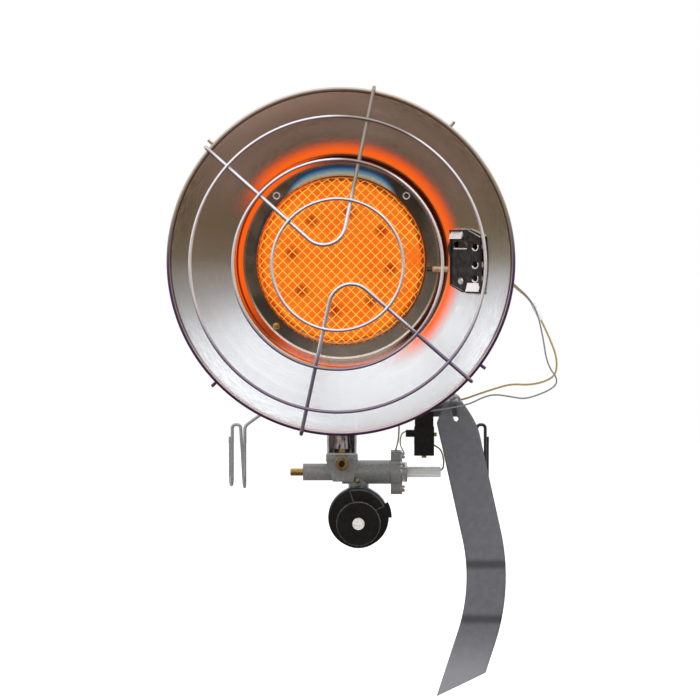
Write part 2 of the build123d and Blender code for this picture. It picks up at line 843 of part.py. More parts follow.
with BuildPart() as bracket_screws:
    with BuildSketch(front_plane(cup_back_y + bracket_sheet)):
        with Locations(*pad_places):
            Circle(screw_radius)
    extrude(amount=bracket_sheet + cup_sheet + screw_tail)
    with BuildSketch(front_plane(cup_back_y + bracket_sheet + screw_head_height)):
        with Locations(*pad_places):
            Circle(screw_head_radius)
    extrude(amount=screw_head_height)
    with BuildSketch(Plane.XY.offset(bracket_seat_z - jet_depth)):
        with Locations(*foot_places):
            Circle(small_screw_radius)
    extrude(amount=jet_depth + bracket_sheet)
    with BuildSketch(Plane.XY.offset(bracket_seat_z + bracket_sheet)):
        with Locations(*foot_places):
            Circle(small_head_radius)
    extrude(amount=small_head_height)
keep(bracket_screws, "bracket_screws")

with BuildPart() as jet_orifice:
    with BuildSketch(Plane.XY.offset(bracket_seat_z - jet_depth)):
        with Locations((dish_x, valve_y)):
            Circle(jet_thread_radius)
    extrude(amount=jet_depth)
    with BuildSketch(Plane.XY.offset(bracket_seat_z)):
        with Locations((dish_x, valve_y)):
            RegularPolygon(hexagon_radius(jet_hex_flats), 6)
    extrude(amount=jet_hex_height)
    with BuildSketch(Plane.XY.offset(bracket_seat_z + jet_hex_height)):
        with Locations((dish_x, valve_y)):
            Circle(jet_thread_radius)
    extrude(amount=jet_nose_height, taper=jet_nose_taper)
    with BuildSketch(Plane.XY.offset(bracket_seat_z - jet_depth)):
        with Locations((dish_x, valve_y)):
            Circle(jet_bore_radius)
    extrude(amount=jet_depth + jet_hex_height + jet_nose_height, mode=Mode.SUBTRACT)
keep(jet_orifice, "jet_orifice")

# Thermocouple: a pressed plate on the right-hand slope, whose leg behind the dish holds the sheath
plate_back_y = dish_floor_y - plate_forward - leg_offset * tan(slope_turn)
sheath_start = mesh_radius + sheath_standoff
sheath_end = leg_radius + leg_sheet + lock_nut_height + sheath_tail
lip_top = ((plate_lip_length - plate_length) / 2, (plate_height - plate_sheet) / 2)
lip_bottom = ((plate_length - plate_lip_length) / 2, (plate_sheet - plate_height) / 2)
plate_side = plate_length / 2
plate_end = plate_height / 2


def plate_outline():
    """Plate with its upper right and lower left corners cut off."""
    with BuildLine(mode=Mode.PRIVATE) as edge:
        Polyline(
            (-plate_side, plate_end),
            (plate_side - plate_cut[0], plate_end),
            (plate_side, plate_end - plate_cut[1]),
            (plate_side, -plate_end),
            (plate_cut[0] - plate_side, -plate_end),
            (-plate_side, plate_cut[1] - plate_end),
            close=True,
        )
    make_face(edge.edges())


with BuildPart() as thermocouple_bracket:
    with BuildSketch(plate_plane):
        plate_outline()
        with Locations(plate_slot_place):
            SlotOverall(plate_slot_length, plate_slot_width, mode=Mode.SUBTRACT)
        with Locations(*plate_hole_places):
            Circle(plate_hole_radius, mode=Mode.SUBTRACT)
        with Locations(*plate_rivet_places):
            Circle(small_screw_radius + fit_gap, mode=Mode.SUBTRACT)
    extrude(amount=plate_sheet)
    with BuildSketch(plate_plane.offset(plate_sheet)):
        plate_outline()
        offset(amount=-plate_rim_sheet, mode=Mode.SUBTRACT)
    extrude(amount=plate_rim_height)
    with BuildSketch(plate_plane):
        with Locations(lip_top, lip_bottom):
            Rectangle(plate_lip_length, plate_sheet)
    extrude(amount=plate_sheet + plate_lip_height)
    with BuildSketch(Plane.YZ.offset(dish_x + leg_radius)):
        leg_tip_y = sensor_y + leg_depth
        with Locations(((leg_tip_y + plate_back_y) / 2 - plate_sheet / 2, sensor_z)):
            Rectangle(leg_tip_y - plate_back_y + plate_sheet, leg_width)
        with Locations((sensor_y, sensor_z)):
            Circle(sheath_radius + fit_gap, mode=Mode.SUBTRACT)
    extrude(amount=leg_sheet)
keep(thermocouple_bracket, "thermocouple_bracket")

with BuildPart() as thermocouple_rivets:
    with BuildSketch(plate_plane.offset(-rivet_depth)):
        with Locations(*plate_rivet_places):
            Circle(small_screw_radius)
    extrude(amount=rivet_depth + plate_sheet)
    with BuildSketch(plate_plane.offset(plate_sheet)):
        with Locations(*plate_rivet_places):
            Circle(small_head_radius)
    extrude(amount=rivet_head_height, taper=rivet_head_taper)
keep(thermocouple_rivets, "thermocouple_rivets")


def sensor_plane(radius):
    """Plane across the thermocouple at a radius from the dish axis, facing outwards."""
    return Plane((dish_x + radius, sensor_y, sensor_z), x_dir=(0, 1, 0), z_dir=(1, 0, 0))


with BuildPart() as thermocouple_sheath:
    with BuildSketch(sensor_plane(sheath_start)):
        Circle(sheath_radius)
    extrude(amount=sheath_end - sheath_start)
    chamfer(thermocouple_sheath.edges().group_by(Axis.X)[0], length=sheath_chamfer)
keep(thermocouple_sheath, "thermocouple_sheath")

with BuildPart() as thermocouple_tip:
    with BuildSketch(sensor_plane(sheath_start)):
        Circle(tip_radius)
    extrude(amount=-tip_reach)
    fillet(thermocouple_tip.edges().group_by(Axis.X)[0], radius=tip_round)
keep(thermocouple_tip, "thermocouple_tip")

with BuildPart() as thermocouple_nuts:
    for nut_start in (leg_radius - lock_nut_height, leg_radius + leg_sheet):
        with BuildSketch(sensor_plane(nut_start)):
            RegularPolygon(hexagon_radius(lock_nut_flats), 6)
            Circle(sheath_radius + fit_gap, mode=Mode.SUBTRACT)
        extrude(amount=lock_nut_height)
keep(thermocouple_nuts, "thermocouple_nuts")

# Free leads of the thermocouple, and the white sleeve on one of them
keep(cord("lead_grey", grey_lead_points, grey_lead_diameter), "lead_grey")
keep(cord("lead_tan", tan_lead_points, tan_lead_diameter), "lead_tan")

sleeve_from = Vector(*sleeve_run_points[0])
sleeve_run = Vector(*sleeve_run_points[1]) - sleeve_from
with BuildPart() as lead_sleeve:
    with BuildSketch(Plane(sleeve_from + sleeve_run * white_sleeve_share[0], z_dir=sleeve_run)):
        Circle(white_sleeve_radius)
        Circle(white_sleeve_bore, mode=Mode.SUBTRACT)
    extrude(amount=sleeve_run.length * (white_sleeve_share[1] - white_sleeve_share[0]))
keep(lead_sleeve, "lead_sleeve")

# Safety valve: cast body with a button barrel, a jet block, a magnet chamber and an end flange
flange_face = body_right + end_flange_width
plug_z = valve_z + plug_rise
plug_face = valve_y - block_depth / 2 - plug_boss_height
block_outline = (
    (block_left, flange_top - flange_thickness),
    (block_right, flange_top - flange_thickness),
    (block_right - block_taper_right, -block_drop),
    (block_left + block_taper_left, -block_drop),
)


def end_outline():
    """Hub with two screw lobes, shared by the end flange and its plate."""
    Circle(end_flange_hub)
    SlotCenterToCenter(2 * end_flange_reach, 2 * end_flange_lobe, rotation=90)


with BuildPart() as valve_body:
    with BuildSketch(valve_plane(barrel_left)):
        Circle(barrel_radius)
    extrude(amount=dish_x - barrel_left)
    with BuildSketch(valve_plane(dish_x)):
        Circle(body_radius)
    extrude(amount=body_right - dish_x)
    with BuildSketch(Plane((0, valve_y + block_depth / 2, valve_z), x_dir=(1, 0, 0), z_dir=(0, -1, 0))):
        with BuildLine():
            Polyline(*block_outline, close=True)
        make_face()
    extrude(amount=block_depth)
    with BuildSketch(Plane.XY.offset(bracket_seat_z - flange_thickness)):
        with Locations(((block_left + block_right) / 2, valve_y)):
            RectangleRounded(block_right - block_left, block_depth + 2 * flange_overhang, flange_corner)
    extrude(amount=flange_thickness)
    with BuildSketch(front_plane(valve_y)):
        with Locations((dish_x, plug_z)):
            Circle(plug_boss_radius)
    extrude(amount=valve_y - plug_face)
    with BuildSketch(Plane.XY.offset(boss_end)):
        with Locations((0, valve_y)):
            Circle(boss_radius)
    extrude(amount=valve_z - boss_end)
    with BuildSketch(valve_plane(body_right)):
        end_outline()
    extrude(amount=end_flange_width)
    with BuildSketch(valve_section):
        with BuildLine():
            Polyline(
                (barrel_left, 0),
                (barrel_left, pin_radius + running_gap),
                (spring_chamber_left, pin_radius + running_gap),
                (spring_chamber_left, spring_chamber_radius),
                (spring_chamber_right, spring_chamber_radius),
                (spring_chamber_right, seat_hole_radius),
                (seat_x, seat_hole_radius),
                (seat_x, chamber_radius),
                (flange_face, chamber_radius),
                (flange_face, 0),
                close=True,
            )
        make_face()
    revolve(axis=valve_axis, mode=Mode.SUBTRACT)
    with BuildSketch(Plane.XY.offset(valve_z)):
        with Locations((dish_x, valve_y)):
            Circle(outlet_radius)
    extrude(amount=flange_top, mode=Mode.SUBTRACT)
    with BuildSketch(Plane.XY.offset(bracket_seat_z - jet_depth)):
        with Locations((dish_x, valve_y)):
            Circle(jet_thread_radius + fit_gap)
        with Locations(*foot_places):
            Circle(small_screw_radius + fit_gap)
    extrude(amount=jet_depth, mode=Mode.SUBTRACT)
    with BuildSketch(Plane.XY.offset(boss_end)):
        with Locations((0, valve_y)):
            Circle(link_radius + fit_gap)
    extrude(amount=link_depth_above, mode=Mode.SUBTRACT)
    with BuildSketch(Plane.XY.offset(boss_end)):
        with Locations((0, valve_y)):
            Circle(link_bore_radius)
    extrude(amount=valve_z - boss_end, mode=Mode.SUBTRACT)
    with BuildSketch(front_plane(plug_face + plug_length)):
        with Locations((dish_x, plug_z)):
            Circle(plug_radius + fit_gap)
    extrude(amount=plug_length, mode=Mode.SUBTRACT)
    with BuildSketch(valve_plane(body_right - flange_thickness)):
        with Locations((0, end_flange_reach), (0, -end_flange_reach)):
            Circle(small_screw_radius + fit_gap)
    extrude(amount=end_flange_width + flange_thickness, mode=Mode.SUBTRACT)
keep(valve_body, "valve_body")

with BuildPart() as valve_end_plate:
    with BuildSketch(valve_plane(flange_face)):
        end_outline()
        Circle(magnet_tail_radius + fit_gap, mode=Mode.SUBTRACT)
        with Locations((0, end_flange_reach), (0, -end_flange_reach)):
            Circle(small_screw_radius + fit_gap, mode=Mode.SUBTRACT)
    extrude(amount=end_plate_sheet)
keep(valve_end_plate, "valve_end_plate")

plate_face = flange_face + end_plate_sheet
with BuildPart() as flange_screws:
    with BuildSketch(valve_plane(body_right)):
        with Locations((0, end_flange_reach), (0, -end_flange_reach)):
            Circle(small_screw_radius)
    extrude(amount=plate_face - body_right)
    with BuildSketch(valve_plane(plate_face)):
        with Locations((0, end_flange_reach), (0, -end_flange_reach)):
            Circle(small_head_radius)
    extrude(amount=small_head_height)
    with BuildSketch(valve_plane(plate_face + small_head_height - slot_depth)):
        with Locations((0, end_flange_reach), (0, -end_flange_reach)):
            Rectangle(3 * small_head_radius, slot_width)
    extrude(amount=small_head_height, mode=Mode.SUBTRACT)
keep(flange_screws, "flange_screws")

with BuildPart() as valve_plug:
    with BuildSketch(front_plane(plug_face + plug_length - free_gap)):
        with Locations((dish_x, plug_z)):
            Circle(plug_radius)
    extrude(amount=plug_length - free_gap)
    with BuildSketch(front_plane(plug_face)):
        with Locations((dish_x, plug_z)):
            Circle(plug_head_radius)
    extrude(amount=plug_head_height)
    chamfer(valve_plug.edges().group_by(Axis.Y)[0], length=plug_chamfer)
    with BuildSketch(front_plane(plug_face - plug_head_height + plug_socket_depth)):
        with Locations((dish_x, plug_z)):
            RegularPolygon(hexagon_radius(plug_socket_flats), 6)
    extrude(amount=plug_socket_depth, mode=Mode.SUBTRACT)
keep(valve_plug, "valve_plug")

# Push pin with its return spring, and the poppet that it lifts off the seat
collar_left = spring_chamber_left + fit_gap
collar_right = collar_left + pin_collar_width
stem_end = seat_x - running_gap
with BuildPart() as push_pin:
    with BuildSketch(valve_section):
        with BuildLine():
            Polyline(
                (barrel_left - pin_reach, 0),
                (barrel_left - pin_reach, pin_radius - pin_chamfer),
                (barrel_left - pin_reach + pin_chamfer, pin_radius),
                (collar_left, pin_radius),
                (collar_left, spring_chamber_radius - free_gap),
                (collar_right, spring_chamber_radius - free_gap),
                (collar_right, stem_radius),
                (stem_end, stem_radius),
                (stem_end, 0),
                close=True,
            )
        make_face()
    revolve(axis=valve_axis)
keep(push_pin, "push_pin")

button_spring_radius = spring_chamber_radius - free_gap - button_spring_wire
button_spring_length = spring_chamber_right - collar_right - 2 * button_spring_wire
button_spring = coil(
    (collar_right + button_spring_wire, valve_y, valve_z), (1, 0, 0), (0, 0, 1),
    button_spring_radius, button_spring_wire, button_spring_length, button_spring_turns,
)
keep(button_spring, "button_spring")

magnet_x = flange_face - magnet_length
pole_x = magnet_x + magnet_pocket
armature_x = pole_x - button_travel - free_gap - armature_height
poppet_left = seat_x + fit_gap
with BuildPart() as valve_poppet:
    with BuildSketch(valve_section):
        with BuildLine():
            Polyline(
                (poppet_left, 0),
                (poppet_left, chamber_radius - free_gap),
                (poppet_left + poppet_height, chamber_radius - free_gap),
                (poppet_left + poppet_height, stem_radius),
                (armature_x, stem_radius),
                (armature_x, armature_radius),
                (armature_x + armature_height, armature_radius),
                (armature_x + armature_height, 0),
                close=True,
            )
        make_face()
    revolve(axis=valve_axis)
keep(valve_poppet, "valve_poppet")

valve_spring_start = poppet_left + poppet_height + valve_spring_wire
valve_spring = coil(
    (valve_spring_start, valve_y, valve_z), (1, 0, 0), (0, 0, 1),
    armature_radius + 2 * free_gap, valve_spring_wire,
    magnet_x - valve_spring_wire - valve_spring_start, valve_spring_turns,
)
keep(valve_spring, "valve_spring")

with BuildPart() as magnet_unit:
    with BuildSketch(valve_section):
        with BuildLine():
            Polyline(
                (pole_x, 0),
                (pole_x, armature_radius + free_gap),
                (magnet_x, armature_radius + free_gap),
                (magnet_x, chamber_radius - fit_gap),
                (flange_face, chamber_radius - fit_gap),
                (flange_face, magnet_tail_radius),
                (plate_face + nut_height, magnet_tail_radius),
                (plate_face + nut_height, magnet_pin_radius),
                (magnet_pin_end, magnet_pin_radius),
                (magnet_pin_end, 0),
                close=True,
            )
        make_face()
    revolve(axis=valve_axis)
keep(magnet_unit, "magnet_unit")

with BuildPart() as magnet_nut:
    with BuildSketch(valve_plane(plate_face)):
        RegularPolygon(hexagon_radius(nut_flats), 6, rotation=90)
        Circle(magnet_tail_radius + fit_gap, mode=Mode.SUBTRACT)
    extrude(amount=nut_height)
keep(magnet_nut, "magnet_nut")

with BuildPart() as clear_sleeve:
    with BuildSketch(valve_plane(plate_face + nut_height)):
        Circle(sleeve_radius)
        Circle(sleeve_bore_radius, mode=Mode.SUBTRACT)
    extrude(amount=sleeve_end - plate_face - nut_height)
keep(clear_sleeve, "clear_sleeve")

keep(cord("magnet_lead", magnet_lead_points, magnet_lead_diameter), "magnet_lead")
keep(cord("ground_lead", ground_lead_points, ground_lead_diameter), "ground_lead")
keep(cord("earth_wire", earth_wire_points, earth_wire_diameter), "earth_wire")

# Regulator: body with the outlet boss, diaphragm, bonnet with the adjusting spring, knob in front
cavity_radius = regulator_radius - regulator_wall
with BuildPart() as regulator_body:
    with BuildSketch(front_plane(regulator_back)):
        Circle(regulator_radius)
    extrude(amount=regulator_back - regulator_split)
    with BuildSketch(front_plane(regulator_back + inlet_boss_length)):
        Circle(inlet_boss_radius)
    extrude(amount=inlet_boss_length)
    with BuildSketch(Plane.XY):
        with Locations((0, valve_y)):
            Circle(boss_radius)
    extrude(amount=boss_end)
    with BuildSketch(front_plane(regulator_back - regulator_floor)):
        Circle(cavity_radius)
    extrude(amount=regulator_back - regulator_floor - regulator_split, mode=Mode.SUBTRACT)
    with BuildSketch(front_plane(regulator_back + inlet_boss_length)):
        Circle(nipple_radius + fit_gap)
    extrude(amount=inlet_boss_length + regulator_floor, mode=Mode.SUBTRACT)
    with BuildSketch(Plane.XY.offset(boss_end - link_depth_below)):
        with Locations((0, valve_y)):
            Circle(link_radius + fit_gap)
    extrude(amount=link_depth_below, mode=Mode.SUBTRACT)
keep(regulator_body, "regulator_body")

with BuildPart() as outlet_nipple:
    with BuildSketch(Plane.XY.offset(boss_end - link_depth_below + link_end_gap)):
        with Locations((0, valve_y)):
            Circle(link_radius)
            Circle(link_bore_radius, mode=Mode.SUBTRACT)
    extrude(amount=link_depth_below + link_depth_above - 2 * link_end_gap)
keep(outlet_nipple, "outlet_nipple")

with BuildPart() as diaphragm:
    with BuildSketch(front_plane(regulator_split)):
        Circle(regulator_radius)
    extrude(amount=diaphragm_sheet)
keep(diaphragm, "diaphragm")

bonnet_back = regulator_split - diaphragm_sheet
with BuildPart() as diaphragm_plate:
    with BuildSketch(front_plane(bonnet_back)):
        Circle(cam_radius)
    extrude(amount=diaphragm_plate_sheet)
keep(diaphragm_plate, "diaphragm_plate")


def ring_sector(inner, outer, angles):
    """Part of a ring between two angles, as a sketch about the plane's origin."""
    Circle(outer)
    Circle(inner, mode=Mode.SUBTRACT)
    with BuildLine(mode=Mode.PRIVATE) as wedge:
        tips = [(2 * outer * cos(radians(angle)), 2 * outer * sin(radians(angle))) for angle in angles]
        middle = radians(sum(angles) / 2)
        Polyline((0, 0), tips[0], (2 * outer * cos(middle), 2 * outer * sin(middle)), tips[1], close=True)
    make_face(wedge.edges(), mode=Mode.INTERSECT)


def bonnet_plane(y):
    """Front plane about the middle of the bonnet, which sits higher than the knob."""
    return Plane((0, y, bonnet_rise), x_dir=(1, 0, 0), z_dir=(0, -1, 0))


with BuildPart() as regulator_bonnet:
    with BuildSketch(bonnet_plane(bonnet_back)):
        Circle(bonnet_radius)
    extrude(amount=bonnet_back - bonnet_front)
    fillet(regulator_bonnet.edges().group_by(Axis.Y)[0], radius=notch_depth)
    with BuildSketch(front_plane(bonnet_back)):
        Circle(cavity_radius)
    extrude(amount=bonnet_back - bonnet_front - bonnet_wall, mode=Mode.SUBTRACT)
    with BuildSketch(bonnet_plane(bonnet_front + bonnet_wall)):
        ring_sector(label_inner_radius, bonnet_radius - notch_depth, label_angles)
    extrude(amount=bonnet_wall + label_height)
    with BuildSketch(bonnet_plane(bonnet_front + bonnet_wall)):
        ring_sector(label_inner_radius, bonnet_radius + pointer_reach, pointer_angles)
    extrude(amount=bonnet_wall)
    with BuildSketch(front_plane(bonnet_front + bonnet_wall)):
        Circle(knob_boss_radius + running_gap)
    extrude(amount=bonnet_wall, mode=Mode.SUBTRACT)
    with BuildSketch(bonnet_plane(bonnet_front + bonnet_wall / 2)):
        for notch_angle in notch_angles:
            with PolarLocations(bonnet_radius, 1, start_angle=notch_angle):
                Rectangle(2 * notch_depth, notch_width)
    extrude(amount=bonnet_wall, mode=Mode.SUBTRACT)
keep(regulator_bonnet, "regulator_bonnet")

knob_back = bonnet_front - free_gap
knob_front = knob_back - knob_height
knob_boss_end = bonnet_front + bonnet_wall
with BuildPart() as regulator_knob:
    with BuildSketch(front_plane(knob_back)):
        Circle(knob_radius)
        with PolarLocations(knob_radius + knob_flute_radius - knob_flute_depth, knob_flute_count):
            Circle(knob_flute_radius, mode=Mode.SUBTRACT)
    extrude(amount=knob_height)
    with BuildSketch(front_plane(knob_boss_end)):
        Circle(knob_boss_radius)
    extrude(amount=knob_boss_end - knob_back)
    with BuildSketch(front_plane(knob_front + cap_height - cap_proud)):
        Circle(cap_radius + fit_gap)
    extrude(amount=cap_height, mode=Mode.SUBTRACT)
keep(regulator_knob, "regulator_knob")

with BuildPart() as knob_cap:
    with BuildSketch(front_plane(knob_front + cap_height - cap_proud)):
        Circle(cap_radius)
    extrude(amount=cap_height)
    fillet(knob_cap.edges().group_by(Axis.Y)[0], radius=cap_proud)
keep(knob_cap, "knob_cap")

cam_front = knob_boss_end + free_gap
with BuildPart() as cam_follower:
    with BuildSketch(front_plane(cam_front + cam_height)):
        Circle(cam_radius)
    extrude(amount=cam_height)
keep(cam_follower, "cam_follower")

spring_front = cam_front + cam_height + adjusting_spring_wire
spring_back = bonnet_back - diaphragm_plate_sheet - adjusting_spring_wire
regulator_spring = coil(
    (0, spring_front, 0), (0, 1, 0), (1, 0, 0),
    adjusting_spring_radius, adjusting_spring_wire, spring_back - spring_front, adjusting_spring_turns,
)
keep(regulator_spring, "regulator_spring")

# Screw fitting: nipple fixed in the regulator, and a nut that spins on it behind a round nose
nipple_end = regulator_back - regulator_floor
nose_start = thread_length + free_gap
nose_tip = (nipple_bore_radius, nose_start + nose_length)
with BuildPart() as tank_nipple:
    with BuildSketch(regulator_section):
        with BuildLine():
            Polyline(
                (nipple_bore_radius, nipple_end),
                (nipple_radius, nipple_end),
                (nipple_radius, nose_start),
                (nose_radius, nose_start),
                (nose_radius, nose_start + nose_straight),
            )
            TangentArc((nose_radius, nose_start + nose_straight), nose_tip, tangent=(0, 1))
            Line(nose_tip, (nipple_bore_radius, nipple_end))
        make_face()
    revolve(axis=regulator_axis)
keep(tank_nipple, "tank_nipple")

with BuildPart() as tank_nut:
    with BuildSketch(front_plane(0)):
        RegularPolygon(hexagon_radius(nut_collar_flats), 6)
    extrude(amount=nut_collar_length)
    with BuildSketch(front_plane(thread_length)):
        Circle(thread_radius)
    extrude(amount=thread_length)
    with BuildSketch(front_plane(thread_length)):
        Circle(nipple_radius + running_gap)
    extrude(amount=thread_length + nut_collar_length, mode=Mode.SUBTRACT)
keep(tank_nut, "tank_nut")

wheel_back = -(nut_collar_length - wheel_width) / 2
with BuildPart() as handwheel:
    with BuildSketch(front_plane(wheel_back)):
        Circle(wheel_radius)
        with PolarLocations(wheel_radius, wheel_lobe_count):
            Circle(wheel_lobe_radius)
        RegularPolygon(hexagon_radius(nut_collar_flats) + fit_gap, 6, mode=Mode.SUBTRACT)
    extrude(amount=wheel_width)
    fillet(handwheel.edges().group_by(Axis.Y)[0].filter_by(GeomType.CIRCLE), radius=wheel_round)
    fillet(handwheel.edges().group_by(Axis.Y)[-1].filter_by(GeomType.CIRCLE), radius=wheel_round)
keep(handwheel, "handwheel")

# Tip-over switch: case with a neck and an ear, pendulum on a pin inside, cover and arm behind
pivot_z = case_top - case_wall - pivot_drop
with BuildPart() as tip_switch_case:
    with BuildSketch(front_plane(case_back)):
        with Locations((case_middle, case_bottom + case_height / 2)):
            RectangleRounded(case_width, case_height, case_corner)
    extrude(amount=case_depth)
    with BuildSketch(Plane.XY.offset(case_top)):
        with Locations((case_middle, arm_front - neck_depth / 2)):
            Rectangle(neck_width, neck_depth)
    extrude(amount=neck_height)
    with BuildSketch(front_plane(arm_front)):
        with Locations(neck_screw_place):
            Circle(small_screw_radius + fit_gap)
    extrude(amount=neck_screw_length, mode=Mode.SUBTRACT)
    with BuildSketch(Plane.YZ.offset(case_left - ear_length)):
        with Locations((case_y, case_top - ear_height)):
            Rectangle(ear_depth, ear_height)
    extrude(amount=ear_length + case_wall)
    with BuildSketch(front_plane(case_back)):
        with Locations((case_middle, case_bottom + case_height / 2)):
            Rectangle(case_width - 2 * case_wall, case_height - 2 * case_wall)
    extrude(amount=case_depth - case_wall, mode=Mode.SUBTRACT)
    with BuildSketch(front_plane(case_back - case_wall)):
        with Locations((case_middle, pivot_z)):
            Circle(pivot_radius)
    extrude(amount=case_depth - 2 * case_wall)
keep(tip_switch_case, "tip_switch_case")

with BuildPart() as tip_switch_cover:
    with BuildSketch(front_plane(case_back + cover_sheet)):
        with Locations((case_middle, case_bottom + case_height / 2)):
            RectangleRounded(case_width, case_height, case_corner)
    extrude(amount=cover_sheet)
keep(tip_switch_cover, "tip_switch_cover")

with BuildPart() as tip_switch_pendulum:
    with BuildSketch(front_plane(case_y + pendulum_width / 2)):
        with Locations((case_middle, pivot_z)):
            Circle(pendulum_arm_radius)
        with Locations((case_middle, pivot_z - pendulum_arm / 2)):
            Rectangle(pendulum_arm_radius, pendulum_arm)
        with Locations((case_middle, pivot_z - pendulum_arm)):
            Circle(pendulum_weight_radius)
        with Locations((case_middle, pivot_z)):
            Circle(pivot_radius + running_gap, mode=Mode.SUBTRACT)
    extrude(amount=pendulum_width)
keep(tip_switch_pendulum, "tip_switch_pendulum")

with BuildPart() as switch_terminals:
    with BuildSketch(Plane.YZ.offset(case_left + case_width)):
        with Locations((case_y - terminal_width, case_top - 2 * terminal_height)):
            Rectangle(terminal_width, terminal_height)
    extrude(amount=terminal_reach)
    with BuildSketch(Plane.XY.offset(case_bottom - terminal_reach)):
        with Locations((case_middle, case_y)):
            Circle(terminal_width / 2)
    extrude(amount=terminal_reach)
keep(switch_terminals, "switch_terminals")

flap_bottom = case_bottom + case_height / 2
with BuildPart() as tip_switch_bracket:
    with BuildSketch(front_plane(arm_back)):
        with Locations(((wall_right + arm_right) / 2, arm_middle_z)):
            Rectangle(arm_right - wall_right, arm_height)
        with Locations((case_middle, (flap_bottom + arm_middle_z) / 2)):
            Rectangle(neck_width, arm_middle_z - flap_bottom)
        with Locations(neck_screw_place):
            Circle(small_screw_radius + fit_gap, mode=Mode.SUBTRACT)
    extrude(amount=arm_sheet)
    with BuildSketch(Plane.YZ.offset(wall_right)):
        with Locations((arm_front + arm_tab_depth / 2, arm_middle_z)):
            Rectangle(arm_tab_depth, arm_height)
        with Locations(arm_screw_place):
            Circle(small_screw_radius + fit_gap, mode=Mode.SUBTRACT)
    extrude(amount=arm_sheet)
    with BuildSketch(front_plane(arm_back)):
        with Locations((hook_x, hook_z)):
            Circle(hook_radius)
    extrude(amount=hook_reach)
    with BuildSketch(front_plane(arm_back - hook_reach)):
        with Locations((hook_x, hook_z)):
            Circle(hook_knob_radius)
    extrude(amount=hook_knob_length)
keep(tip_switch_bracket, "tip_switch_bracket")

with BuildPart() as switch_screws:
    with BuildSketch(front_plane(arm_back)):
        with Locations(neck_screw_place):
            Circle(small_screw_radius)
    extrude(amount=arm_sheet + neck_screw_length - free_gap)
    with BuildSketch(front_plane(arm_back + small_head_height)):
        with Locations(neck_screw_place):
            Circle(small_head_radius)
    extrude(amount=small_head_height)
    with BuildSketch(Plane.YZ.offset(wall_right + arm_sheet)):
        with Locations(arm_screw_place):
            Circle(small_head_radius)
    extrude(amount=small_head_height)
    with BuildSketch(Plane.YZ.offset(wall_right - bracket_sheet)):
        with Locations(arm_screw_place):
            Circle(small_screw_radius)
    extrude(amount=bracket_sheet + arm_sheet)
keep(switch_screws, "switch_screws")

# Support wire: a crossbar in the bracket's ears and, on each side, a double clip with an open slot
clip_middle_y = clip_front_y + clip_step
clip_outer_y = clip_middle_y + clip_outer_shift
clip_back_y = clip_middle_y + clip_step
clip_points = (
    (crossbar_half, wire_pivot_y, wire_pivot_z),
    (collar_half - inner_leg_inset, clip_front_y, clip_top),
    (collar_half - inner_leg_inset, clip_front_y, clip_bottom),
    (collar_half - lean_foot_inset, clip_middle_y, clip_bottom),
    (collar_half - lean_top_inset, clip_middle_y, clip_top),
    (collar_half + outer_leg_outset, clip_outer_y, clip_top),
    (collar_half + outer_leg_outset, clip_outer_y, clip_bottom),
    (collar_half + free_leg_outset, clip_back_y, clip_bottom),
    (collar_half + free_leg_outset, clip_back_y, clip_free_end),
)
wire_points = [(-x, y, z) for x, y, z in clip_points[::-1]] + list(clip_points)
with BuildPart() as collar_support_wire:
    with BuildLine() as wire_path:
        FilletPolyline(*wire_points, radius=clip_bends[::-1] + clip_bends)
    with BuildSketch(Plane(wire_path.line @ 0, z_dir=wire_path.line % 0)):
        Circle(wire_radius)
    sweep(path=wire_path.line)
keep(collar_support_wire, "collar_support_wire")

# Hang tag: a bare strip that leans and then curves, hung by its slot on the arm's hook
tag_slot_radius = hook_radius + free_gap


def tag_point(along, across):
    """Point of the tag at a distance down its lean from the hook and a distance to its right."""
    lean = radians(tag_lean)
    return (
        hook_x + along * sin(lean) + across * cos(lean),
        hook_z - along * cos(lean) + across * sin(lean),
    )


with BuildPart() as hang_tag:
    with BuildSketch(front_plane(tag_y + tag_sheet / 2)):
        with BuildLine():
            straight = Line(tag_point(tag_shoulder, 0), tag_point(tag_shoulder + tag_straight, 0))
            bend = JernArc(straight @ 1, straight % 1, tag_curve_radius, -tag_curve_angle)
            tail = PolarLine(bend @ 1, tag_tail, direction=bend % 1)
        trace(line_width=tag_width)
        tail_side = (tail % 1).rotate(Axis.Z, 90) * (tag_width / 2)
        with BuildLine():
            Polyline(
                tail @ 1 + tail_side,
                tail @ 1 - tail_side,
                tail @ 1 - tail_side + (tail % 1) * tag_end_slant,
                close=True,
            )
        make_face()
        with BuildLine():
            Polyline(
                tag_point(tag_shoulder, -tag_width / 2),
                tag_point(tag_shoulder, tag_width / 2),
                tag_point(-tag_nose_rise, tag_nose_radius),
                tag_point(-tag_nose_rise, -tag_nose_radius),
                tag_point(tag_left_shoulder, -tag_width / 2),
                close=True,
            )
        make_face()
        with Locations(tag_point(-tag_nose_rise, 0)):
            Circle(tag_nose_radius)
        with Locations(tag_point(tag_slot_length / 2, 0)):
            slot_turn = 90 + tag_lean
            SlotCenterToCenter(tag_slot_length, 2 * tag_slot_radius, rotation=slot_turn, mode=Mode.SUBTRACT)
    extrude(amount=tag_sheet)
keep(hang_tag, "hang_tag")
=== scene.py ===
import json
from math import atan2, cos, floor, hypot, pi, radians, sin, tan

